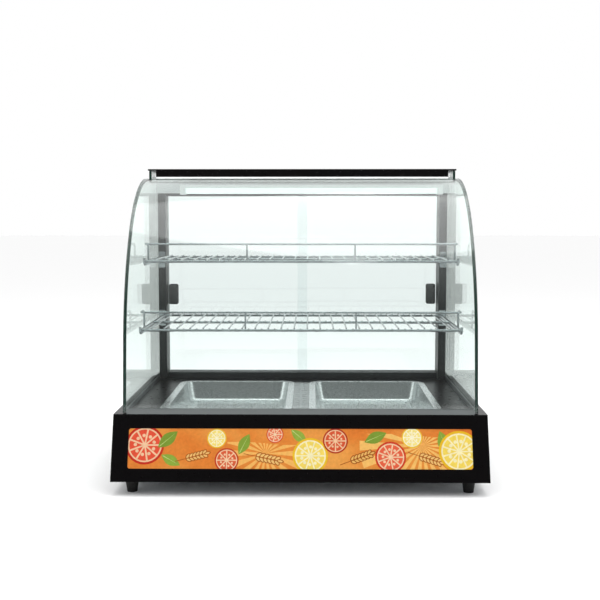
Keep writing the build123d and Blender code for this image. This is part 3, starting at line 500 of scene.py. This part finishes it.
def slice_wheel(x, y, radius, rind, flesh, core, wedges):
    """A round slice: rind, pale ring and wedges of flesh with a pale seed in each."""
    ink(disc(x, y, radius), rind)
    ink(disc(x, y, radius * 0.88), core)
    for k in range(wedges):
        first, last = (2 * math.pi * (k + share) / wedges for share in (0.08, 0.92))
        arc = [polar(radius * 0.8, first + (last - first) * t / 5) for t in range(6)]
        fan = turned([polar(radius * 0.12, (first + last) / 2), *arc], x, y)
        seed = (fan[0][i] * 0.45 + fan[3][i] * 0.55 for i in (0, 1))
        ink(fan, flesh)
        ink(disc(*seed, radius * 0.09, 8), core)


def leaf(x, y, length, turn, dark, light):
    """A pointed leaf with a lighter rib."""
    side = [(length * (t / 8 - 0.5), length * 0.24 * math.sin(math.pi * t / 8)) for t in range(9)]
    outline = side + [(u, -v) for u, v in side[-2:0:-1]]
    rib = [(-length * 0.42, 0.6), (-length * 0.42, -0.6), (length * 0.44, 0)]
    ink(turned(outline, x, y, turn), dark)
    ink(turned(rib, x, y, turn), light)


def wheat_ear(x, y, length, turn, husk, grain):
    """A leaning ear of wheat: a stem with pairs of grains and one at the tip."""
    stem = [(-length * 0.5, 0.7), (-length * 0.5, -0.7), (length * 0.3, 0)]
    ink(turned(stem, x, y, turn), husk)
    for k in range(6):
        for side in (-1, 1):
            place = (length * (0.09 * k - 0.14), side * length * 0.05)
            centre = turned([place], x, y, turn)[0]
            ink(disc(*centre, length * 0.085, 12, 0.6, turn + side * 0.6), husk)
            ink(disc(*centre, length * 0.06, 10, 0.5, turn + side * 0.6), grain)
    tip = turned([(length * 0.38, 0)], x, y, turn)[0]
    ink(disc(*tip, length * 0.09, 12, 0.5, turn), husk)
    ink(disc(*tip, length * 0.06, 10, 0.4, turn), grain)


def sunburst(x, y, radius, rays, colour):
    """Rays of light that fan out behind the motifs."""
    spread = math.pi / rays * 0.55
    for k in range(rays):
        middle = 2 * math.pi * k / rays
        tips = [polar(radius, middle - spread), polar(radius, middle + spread)]
        ink(turned([(0, 0), *tips], x, y), colour)


# %% [markdown]
# ## Layout of the print
# Colours are the warm family that such a panel has: tomato red, lemon, cream, straw brown
# and a little green on an orange ground, with motifs of 30 to 75 mm.

# %% Draw the motifs
sunburst(-60, -8, 70, 18, "f8bb62")
sunburst(214, 6, 110, 22, "f9c269")
slice_wheel(-272, 6, 34, "c92f1d", "e8543a", "f6c9a0", 9)
leaf(-232, 16, 44, 0.7, "7d9a35", "c6d77c")
leaf(-226, -20, 38, -0.5, "8fae40", "d4e08d")
wheat_ear(-186, -14, 66, 0.25, "a9581f", "f0c070")
slice_wheel(-146, 18, 17, "f0c430", "f9e178", "fdf5d0", 8)
slice_wheel(-128, -20, 21, "c43a20", "e0603c", "f7cfa6", 8)
leaf(-98, 8, 40, 1.1, "86a33a", "cbdc83")
wheat_ear(-62, -16, 74, -0.2, "b06024", "f4c878")
slice_wheel(-44, 25, 15, "d9472b", "ef7350", "f9d8b0", 7)
leaf(-2, 22, 36, -0.7, "93b043", "d6e290")
slice_wheel(18, -12, 31, "efc02a", "f8dc66", "fdf3c4", 10)
slice_wheel(62, 14, 22, "b5341d", "dc5836", "f5c79c", 8)
wheat_ear(102, -16, 68, 0.35, "9f511c", "ecb964")
leaf(132, 20, 42, 0.4, "7f9c37", "c8d97e")
slice_wheel(158, -14, 27, "d23c24", "ea6344", "f8d0a8", 9)
slice_wheel(196, 20, 18, "f2ca3c", "fbe687", "fef7d8", 8)
wheat_ear(222, -16, 70, -0.3, "ad5c22", "f2c474")
leaf(252, 10, 46, 1.9, "8ba83e", "d0de88")
slice_wheel(278, -4, 36, "edbc26", "f7d95e", "fdf1bd", 11)
print("ink shapes", len(ink_shapes))


# %% Clip the motifs to the window
def clip(outline, half_x, half_y):
    """Cut a convex outline to a rectangle about the middle."""
    sides = ((0, half_x, 1), (0, half_x, -1), (1, half_y, 1), (1, half_y, -1))
    for axis, limit, sign in sides:
        kept = []
        for here, there in zip(outline, outline[1:] + outline[:1]):
            a, b = limit - sign * here[axis], limit - sign * there[axis]
            if a >= 0:
                kept.append(here)
            if (a >= 0) != (b >= 0):
                t = a / (a - b)
                kept.append(tuple(here[i] + t * (there[i] - here[i]) for i in (0, 1)))
        outline = kept
        if len(outline) < 3:
            return []
    return outline


def make_print():
    """All the motifs as one thin mesh with a colour on each face."""
    middle = Vector((0, window_middle.y, window_middle.z))
    ground = middle + slope_out * (print_half_thickness + ink_gap)
    points, faces, colours = [], [], []
    for order, (outline, colour) in enumerate(ink_shapes):
        cut = clip(outline, window_half_width / mm, window_half_rise / mm)
        if cut:
            start = ground + slope_out * ink_step * order
            faces.append(tuple(range(len(points), len(points) + len(cut))))
            points += [start + Vector((x * mm, 0, 0)) + slope_up * (y * mm) for x, y in cut]
            colours.append(linear(colour))
    mesh = bpy.data.meshes.new("print_motifs")
    mesh.from_pydata(points, [], faces)
    mesh.update()
    layer = mesh.color_attributes.new("ink", "FLOAT_COLOR", "CORNER")
    for polygon, colour in zip(mesh.polygons, colours):
        for corner in polygon.loop_indices:
            layer.data[corner].color = colour
    finish_piece("print_motifs", mesh, "printed_acrylic", material=print_ink)


make_print()

# %% [markdown]
# ## Geometry Nodes for what repeats
# Screws, louvres, weld spots and dial marks each repeat one small shape at known places.
# The places are a mesh of bare points, and the node tree puts the small shape on each. The
# result is turned into a plain mesh, because the export drops instances.


# %% A tree that puts a shape on points
def shape_on_points_tree(name):
    """Node group: Points and Shape in, with a Size and a Finish, and a realised mesh out."""
    tree = bpy.data.node_groups.new(name, "GeometryNodeTree")
    for socket, kind in (
        ("Points", "NodeSocketGeometry"),
        ("Shape", "NodeSocketObject"),
        ("Size", "NodeSocketFloat"),
        ("Spread", "NodeSocketFloat"),
        ("Finish", "NodeSocketMaterial"),
    ):
        tree.interface.new_socket(socket, in_out="INPUT", socket_type=kind)
    tree.interface.new_socket("Geometry", in_out="OUTPUT", socket_type="NodeSocketGeometry")
    given = tree.nodes.new("NodeGroupInput").outputs
    source = {"Object": given["Shape"], "As Instance": True}
    shape = add_node(tree, "GeometryNodeObjectInfo", source)
    turn = add_node(
        tree, "GeometryNodeInputNamedAttribute", {"Name": "turn"}, data_type="FLOAT_VECTOR"
    )
    jitter = add_node(tree, "FunctionNodeRandomValue", {"Seed": 7}, data_type="FLOAT")
    # The Random Value node has a Min and a Max for each kind of data; these are the numbers
    numbers = {socket.name: socket for socket in jitter.inputs if socket.type == "VALUE"}
    for end, sign in (("Min", -1.0), ("Max", 1.0)):
        tree.links.new(work_out(tree, "MULTIPLY", given["Spread"], sign), numbers[end])
    size = work_out(tree, "ADD", given["Size"], jitter.outputs[1])
    placed = add_node(
        tree,
        "GeometryNodeInstanceOnPoints",
        {
            "Points": given["Points"],
            "Instance": shape.outputs["Geometry"],
            "Rotation": turn.outputs["Attribute"],
            "Scale": size,
        },
    )
    real = add_node(tree, "GeometryNodeRealizeInstances", {"Geometry": placed.outputs[0]})
    dressed = add_node(
        tree, "GeometryNodeSetMaterial", {"Geometry": real.outputs[0], "Material": given["Finish"]}
    )
    add_node(tree, "NodeGroupOutput", {"Geometry": dressed.outputs[0]})
    return tree


scatter_tree = shape_on_points_tree("shape_on_points")


def repeat_shape(name, places, shape_mesh, slot, turns=None, spread=0.0, smooth=False):
    """Put shape_mesh at each place, turned by its Euler angles, as one plain mesh."""
    cloud = bpy.data.meshes.new(name + "_points")
    cloud.from_pydata([tuple(p) for p in places], [], [])
    angles = cloud.attributes.new("turn", "FLOAT_VECTOR", "POINT")
    for datum, angle in zip(angles.data, turns or [(0, 0, 0)] * len(places)):
        datum.vector = angle
    carrier = bpy.data.objects.new(name + "_carrier", cloud)
    shape = bpy.data.objects.new(name + "_shape", shape_mesh)
    for helper in (carrier, shape):
        bpy.context.scene.collection.objects.link(helper)
    modifier = carrier.modifiers.new("repeat", "NODES")
    modifier.node_group = scatter_tree
    inputs = [item for item in scatter_tree.interface.items_tree if item.in_out == "INPUT"]
    sockets = {item.name: item.identifier for item in inputs}
    values = {"Shape": shape, "Size": 1.0, "Spread": spread, "Finish": finishes[slot]}
    for socket, value in values.items():
        modifier[sockets[socket]] = value
    bpy.context.view_layer.update()
    evaluated = carrier.evaluated_get(bpy.context.evaluated_depsgraph_get())
    mesh = bpy.data.meshes.new_from_object(evaluated)
    mesh.name = name
    for helper in (carrier, shape):
        bpy.data.objects.remove(helper)
    return finish_piece(name, mesh, slot, smooth=smooth)


# %% [markdown]
# ## Small shapes to repeat
# bmesh makes each small shape once, at the origin and at its true size.


# %% Turned and box shapes
def vertex_ring(shape, radius, height, sides):
    """A ring of vertices about Z, or a single one where the radius is 0."""
    if radius == 0:
        return [shape.verts.new((0, 0, height))]
    angles = [2 * math.pi * k / sides for k in range(sides)]
    return [shape.verts.new((*polar(radius, angle), height)) for angle in angles]


def join_rings(shape, below, above, sides):
    """Faces from one ring to the next; either may be a single vertex."""
    for k in range(sides):
        low = (below[k % len(below)], below[(k + 1) % len(below)])
        high = (above[(k + 1) % len(above)], above[k % len(above)])
        shape.faces.new(list(dict.fromkeys(low + high)))


def lathe_mesh(name, profile, sides):
    """A closed turned shape about +Z from (radius, height) pairs, from bottom to top."""
    shape = bmesh.new()
    rings = [vertex_ring(shape, radius, height, sides) for radius, height in profile]
    for below, above in zip(rings, rings[1:]):
        join_rings(shape, below, above, sides)
    return mesh_from(shape, name)


def block_mesh(name, size, bevel):
    """A box with bevelled edges about the origin."""
    shape = bmesh.new()
    bmesh.ops.create_cube(shape, size=1, matrix=Matrix.Diagonal((*size, 1)))
    bmesh.ops.bevel(shape, geom=shape.edges[:], offset=bevel, segments=2, affect="EDGES")
    return mesh_from(shape, name)


# %% [markdown]
# ## Shelf welds
# Each slat of a wire shelf is spot welded to the frame, and the weld leaves a flattened
# nugget of metal under the chrome. They are placed where slats cross the three cross wires.

# %% Weld nuggets
slat_pitch, slat_thickness, slats_each_side = 24 * mm, 3 * mm, 11
frame_wire_radius = 2.5 * mm
nugget_profile = [(0, -1.6), (1.5, -1.0), (2.1, 0), (1.5, 1.0), (0, 1.6)]
nugget = lathe_mesh("nugget_shape", [(r * mm, h * mm) for r, h in nugget_profile], 10)
for level in ("upper", "lower"):
    low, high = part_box(f"shelf_{level}")
    rows = (low.y + frame_wire_radius, (low.y + high.y) / 2, high.y - frame_wire_radius)
    columns = range(-slats_each_side, slats_each_side + 1)
    places = [(k * slat_pitch, y, high.z - slat_thickness) for k in columns for y in rows]
    repeat_shape(f"welds_{level}", places, nugget, "chrome_wire", spread=0.12, smooth=True)

# %% [markdown]
# ## Rear panel: louvre hoods and screws
# The slots of a vent are pressed outwards into hoods, so that a splash runs off them. A
# hood is a quarter of a tube over each slot with closed ends. The screws are pan heads with
# a cross recess, and they take the place of the plain ones in the model.


# %% Louvre hoods
def hood_mesh(width, depth, height, wall, steps=6, spans=16):
    """A pressed hood: a bulge that is closed above and open below, facing +Y."""
    shape = bmesh.new()

    def layer(inset):
        rows = []
        for i in range(spans + 1):
            across = i / spans * 2 - 1
            swell = math.sqrt(max(0.0, 1 - abs(across) ** 6))
            x = across * (width / 2 - inset)
            row = []
            for j in range(steps + 1):
                angle = math.pi / 2 * j / steps
                out = (depth - inset) * math.sin(angle) * swell
                up = (height - inset) * math.cos(angle) * swell
                row.append(shape.verts.new((x, out, up)))
            rows.append(row)
        return rows

    outer, inner = layer(0), layer(wall)
    for i in range(spans):
        left, right, left_in, right_in = outer[i], outer[i + 1], inner[i], inner[i + 1]
        for j in range(steps):
            shape.faces.new((left[j], right[j], right[j + 1], left[j + 1]))
            shape.faces.new((left_in[j], left_in[j + 1], right_in[j + 1], right_in[j]))
        shape.faces.new((left[steps], right[steps], right_in[steps], left_in[steps]))
        shape.faces.new((right[0], left[0], left_in[0], right_in[0]))
    # Both ends taper to a point, so the vertices there are merged
    bmesh.ops.remove_doubles(shape, verts=shape.verts, dist=1e-6)
    return mesh_from(shape, "hood_shape")


louvre_side, louvre_pitch, louvre_rows = 85 * mm, 9 * mm, 6
hood_drop = 1.2 * mm
louvre_x = (shell_high.x - shell_low.x) / 2 - louvre_side
panel_middle = (panel_low + panel_high) / 2
louvre_bottom = panel_middle.z - (louvre_rows - 1) / 2 * louvre_pitch
repeat_shape(
    "louvre_hoods",
    [
        (side * louvre_x, panel_high.y, louvre_bottom + k * louvre_pitch - hood_drop)
        for side in (-1, 1)
        for k in range(louvre_rows)
    ],
    hood_mesh(width=62 * mm, depth=3.5 * mm, height=4.6 * mm, wall=0.8 * mm),
    "black_enamel",
    smooth=True,
)


# %% Screws of the rear panel
def screw_mesh(radius, height, slot_width):
    """A pan head about +Z with a cross recess cut into it, closed below."""
    shape = bmesh.new()
    sides = 40
    dome = ((1.0, 0.0), (1.0, 0.45), (0.9, 0.78), (0.66, 0.98), (0.55, 1.0))
    rings = [vertex_ring(shape, radius * share, height * rise, sides) for share, rise in dome]
    for below, above in zip(rings, rings[1:]):
        join_rings(shape, below, above, sides)
    arm, half = radius * 0.5, slot_width / 2
    cross = [
        (arm, -half), (arm, half), (half, half), (half, arm), (-half, arm), (-half, half),
        (-arm, half), (-arm, -half), (-half, -half), (-half, -arm), (half, -arm), (half, -half),
    ]
    lip = [shape.verts.new((x, y, height)) for x, y in cross]
    floor = [shape.verts.new((x * 0.7, y * 0.7, height * 0.3)) for x, y in cross]
    join_rings(shape, lip, floor, len(cross))
    shape.faces.new(floor)
    edges = []
    for loop in (rings[-1], lip):
        edges += [shape.edges.get((a, b)) for a, b in zip(loop, loop[1:] + loop[:1])]
    bmesh.ops.triangle_fill(shape, edges=edges, use_beauty=True)
    shape.faces.new(rings[0][::-1])
    return mesh_from(shape, "screw_shape")


plain_head_radius = 4 * mm
screw_low, screw_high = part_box("panel_screws")
screw_x = (screw_high.x - screw_low.x) / 2 - plain_head_radius
screw_rows = (screw_low.z + plain_head_radius, screw_high.z - plain_head_radius)
screw_places = [
    (screw_x * share, panel_high.y, z) for share in (-1, -1 / 3, 1 / 3, 1) for z in screw_rows
]
# Screws never stop at the same angle, so each recess is turned by its own amount
screws = repeat_shape(
    "panel_screw_heads",
    screw_places,
    screw_mesh(radius=4.2 * mm, height=2.2 * mm, slot_width=1.0 * mm),
    "zinc_screws",
    turns=[(-math.pi / 2, 0.5 * k * k, 0) for k in range(len(screw_places))],
)
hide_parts("panel_screws")

# %% [markdown]
# ## Dial marks and figures
# The dial is anodised aluminium with 25 black marks in a ring of 270 degrees and a figure at
# every sixth mark, as a thermostat in degrees Celsius has. Marks are small raised bars,
# and figures are Blender's own font turned into meshes.

# %% Dial marks
dial_low, dial_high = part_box("dial_plate")
dial_centre = (dial_low + dial_high) / 2
mark_radius, figure_radius = 25.2 * mm, 29.2 * mm


def dial_angles(count):
    """Evenly spaced angles over the knob's sweep of 270 degrees."""
    return [math.radians(-135 + 270 * k / (count - 1)) for k in range(count)]


def on_dial(angle, radius):
    """A point of the dial's face; angles turn clockwise from straight up, seen from behind."""
    up, left = polar(radius, angle)
    return Vector((dial_centre.x - left, dial_high.y, dial_centre.z + up))


repeat_shape(
    "dial_marks",
    [on_dial(angle, mark_radius) for angle in dial_angles(25)],
    block_mesh("mark_shape", (0.7 * mm, 0.2 * mm, 2.4 * mm), 0.05 * mm),
    "black_plastic",
    turns=[(0, -angle, 0) for angle in dial_angles(25)],
)


# %% Dial figures
def raised_text(name, words, height, centre, slot):
    """Raised figures on a face that looks along +Y, centred on a point."""
    curve = bpy.data.curves.new(name, "FONT")
    curve.body, curve.size, curve.extrude = words, height, 0.1 * mm
    curve.align_x, curve.align_y = "CENTER", "CENTER"
    text = bpy.data.objects.new(name + "_curve", curve)
    bpy.context.scene.collection.objects.link(text)
    bpy.context.view_layer.update()
    evaluated = text.evaluated_get(bpy.context.evaluated_depsgraph_get())
    mesh = bpy.data.meshes.new_from_object(evaluated)
    bpy.data.objects.remove(text)
    mesh.transform(Matrix.Rotation(math.pi, 4, "Z") @ Matrix.Rotation(math.pi / 2, 4, "X"))
    mesh.transform(Matrix.Translation(centre))
    finish_piece(name, mesh, slot)


for degrees, angle in zip((30, 50, 70, 90, 110), dial_angles(5)):
    place = on_dial(angle, figure_radius)
    raised_text(f"dial_figure_{degrees}", str(degrees), 4.2 * mm, place, "black_plastic")


# %% [markdown]
# ## Marks on the knob and the switches
# A white line is filled into the knob's pointer and rides with the knob. Each rocker has the
# usual bar for on and ring for off, moulded a fifth of a millimetre proud of its two ends.

# %% Pointer line
line_height, line_sink = 9.5 * mm, 0.1 * mm
knob_low, knob_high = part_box("thermostat_knob")
knob_middle = (knob_low + knob_high) / 2
line_place = (knob_middle.x, knob_high.y - line_sink, knob_middle.z + line_height)
line_mesh = block_mesh("pointer_line", (1.2 * mm, 0.5 * mm, 13 * mm), 0.15 * mm)
line_mesh.transform(Matrix.Translation(line_place))
finish_piece("knob_pointer_line", line_mesh, "white_holder", body="knob")


# %% Rocker marks
def rocker_marks(name):
    """A bar near the rocker's top and a ring near its bottom, flat and about the origin."""
    offset, half_depth = 6.4 * mm, 0.15 * mm
    outer, inner, sides = 2.2 * mm, 1.4 * mm, 20
    shape = bmesh.new()
    bar = Matrix.Diagonal((0.9 * mm, 2 * half_depth, 4 * mm, 1))
    bmesh.ops.create_cube(shape, size=1, matrix=bar)
    bmesh.ops.translate(shape, vec=(0, 0, offset), verts=shape.verts)
    rings = []
    for radius, y in (
        (outer, -half_depth), (outer, half_depth), (inner, half_depth), (inner, -half_depth)
    ):
        circle = [polar(radius, 2 * math.pi * k / sides) for k in range(sides)]
        rings.append([shape.verts.new((x, y, z - offset)) for x, z in circle])
    for ring, following in zip(rings, rings[1:] + rings[:1]):
        join_rings(shape, ring, following, sides)
    return mesh_from(shape, f"{name}_marks")


def onto_rocker(mesh, node):
    """Move the marks out to the rocker's own surface, read along Y from the model."""
    low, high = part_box(node)
    middle = (low + high) / 2
    lift, start_above = 0.05 * mm, 5 * mm
    solid = frame["nodes"][node]
    for vertex in mesh.vertices:
        x, z = middle.x + vertex.co.x, middle.z + vertex.co.z
        hit, place, _, _ = solid.ray_cast((x, high.y + start_above, z), (0, -1, 0))
        surface = place.y if hit else high.y
        vertex.co = (x, surface + vertex.co.y + lift, z)


for name in ("power", "light"):
    marks = rocker_marks(name)
    onto_rocker(marks, f"{name}_switch_rocker")
    finish_piece(f"{name}_switch_marks", marks, "white_holder", body=f"{name}_rocker")

# %% [markdown]
# ## The perforated strip between the pans
# A strip of brushed stainless lies over the bridge of the deck, between the pans' rims,
# with a slot over each of the deck's own, so steam can rise there. The strip is a grid of
# small cells with a slot-shaped hole in each, joined along their shared edges.


# %% Perforated strip
def slotted_cell(shape, centre, cell, slot, top, bottom):
    """One cell of the strip: a rectangle with a rounded slot through it."""
    sides = 12
    slot_length, slot_width = slot
    half_x, half_y = cell[0] / 2, cell[1] / 2
    hole, rim = [], []
    for k in range(sides):
        x, y = polar(slot_width / 2, 2 * math.pi * (k + 0.5) / sides)
        x += math.copysign((slot_length - slot_width) / 2, x)
        reach = max(abs(x) / half_x, abs(y) / half_y)
        hole.append((x, y))
        rim.append((x / reach, y / reach))
    # Four points of the rim move to the corners, so that the cells meet without gaps
    for corner in ((half_x, half_y), (-half_x, half_y), (-half_x, -half_y), (half_x, -half_y)):
        distances = [math.dist(point, corner) for point in rim]
        rim[distances.index(min(distances))] = corner
    loops = [
        [shape.verts.new((centre[0] + x, centre[1] + y, z)) for x, y in outline]
        for outline, z in ((rim, top), (hole, top), (hole, bottom), (rim, bottom))
    ]
    for loop, following in zip(loops, loops[1:] + loops[:1]):
        join_rings(shape, following, loop, sides)


pan_low, pan_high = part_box("pan_right")
rim_gap, strip_thickness, strip_lift = 0.6 * mm, 0.75 * mm, 0.05 * mm
slot_pitch, slots_each_way = 22 * mm, 6
strip_half = pan_low.x - rim_gap
strip_middle = (pan_low.y + pan_high.y) / 2
strip = bmesh.new()
for row in range(-slots_each_way, slots_each_way + 1):
    for side in (-1, 1):
        slotted_cell(
            strip,
            centre=(side * strip_half / 2, strip_middle + row * slot_pitch),
            cell=(strip_half, slot_pitch),
            slot=(11 * mm, 3.6 * mm),
            top=deck_top + strip_lift + strip_thickness,
            bottom=deck_top + strip_lift,
        )
bmesh.ops.remove_doubles(strip, verts=strip.verts, dist=1e-6)
finish_piece("bridge_strip", mesh_from(strip, "bridge_strip"), "tank_steel")

# %% [markdown]
# ## Camera
# The photograph was taken from a little above the upper shelf, nearly square to the front.
# The lens and place come from a fit of the base, posts and cap to the picture.

# %% Camera
focal_pixels, picture_pixels, sensor_width = 987.09, 600, 36.0
camera_pitch, camera_yaw = 0.080, 0.0119
camera_data = bpy.data.cameras.new("camera")
camera_data.sensor_width = sensor_width
camera_data.lens = sensor_width * focal_pixels / picture_pixels
camera = bpy.data.objects.new("camera", camera_data)
camera.location = (0.02024, -1.92871, 0.47724)
camera.rotation_euler = (math.pi / 2 - camera_pitch, 0, camera_yaw)
bpy.context.scene.collection.objects.link(camera)
bpy.context.scene.camera = camera
print("lens", round(camera_data.lens, 2))

# %% [markdown]
# ## Floor, light and background
# A catalogue picture has a white sweep behind the object and soft boxes above it. The world
# is white where the camera looks, and for reflections it is dark in front and bright above
# and behind, as a studio is, so the black enamel stays black.

# %% Floor
floor_half = 30.0
floor_mesh = bpy.data.meshes.new("floor")
floor_corners = [
    (x * floor_half, y * floor_half, 0) for x, y in ((-1, -1), (1, -1), (1, 1), (-1, 1))
]
floor_mesh.from_pydata(floor_corners, [], [(0, 1, 2, 3)])
floor = bpy.data.objects.new("floor", floor_mesh)
bpy.context.scene.collection.objects.link(floor)
floor_paint, tree = empty_material("white_sweep")
matt = add_node(tree, "ShaderNodeBsdfDiffuse", {"Color": linear("f6f6f6")})
add_node(tree, "ShaderNodeOutputMaterial", {"Surface": matt.outputs[0]})
floor_mesh.materials.append(floor_paint)

# %% World
world = bpy.data.worlds.new("studio")
bpy.context.scene.world = world
world.use_nodes = True
tree = world.node_tree
tree.nodes.clear()
white = linear("ffffff")
direction = add_node(tree, "ShaderNodeTexCoord").outputs["Generated"]
split = add_node(tree, "ShaderNodeSeparateXYZ", {"Vector": direction}).outputs
behind = remap(tree, split["Y"], (-0.9, 0.3), (0.15, 1.0))
above = remap(tree, split["Z"], (0.45, 0.9), (0.0, 0.6))
level = work_out(tree, "ADD", behind, above)
studio = add_node(tree, "ShaderNodeBackground", {"Color": white, "Strength": level})
seen = add_node(tree, "ShaderNodeBackground", {"Color": white, "Strength": 1.0})
is_camera_ray = add_node(tree, "ShaderNodeLightPath").outputs["Is Camera Ray"]
chosen = mix_shaders(tree, is_camera_ray, studio, seen)
add_node(tree, "ShaderNodeOutputWorld", {"Surface": chosen.outputs[0]})


# %% Soft boxes
def soft_box(name, place, target, size, watts):
    """A square area light at place, facing target."""
    lamp = bpy.data.lights.new(name, "AREA")
    lamp.shape, lamp.size, lamp.energy = "SQUARE", size, watts
    holder = bpy.data.objects.new(name, lamp)
    holder.location = place
    holder.rotation_euler = (Vector(target) - Vector(place)).to_track_quat("-Z", "Y").to_euler()
    bpy.context.scene.collection.objects.link(holder)


cabinet_middle = (0, 0, 0.3)
soft_box("top_box", (0.2, -0.2, 2.4), cabinet_middle, 2.2, 30)
soft_box("left_box", (-2.2, -1.4, 1.5), cabinet_middle, 1.4, 12)
soft_box("right_box", (2.2, -1.2, 1.6), cabinet_middle, 1.4, 12)
bpy.context.scene.view_settings.view_transform = "Standard"
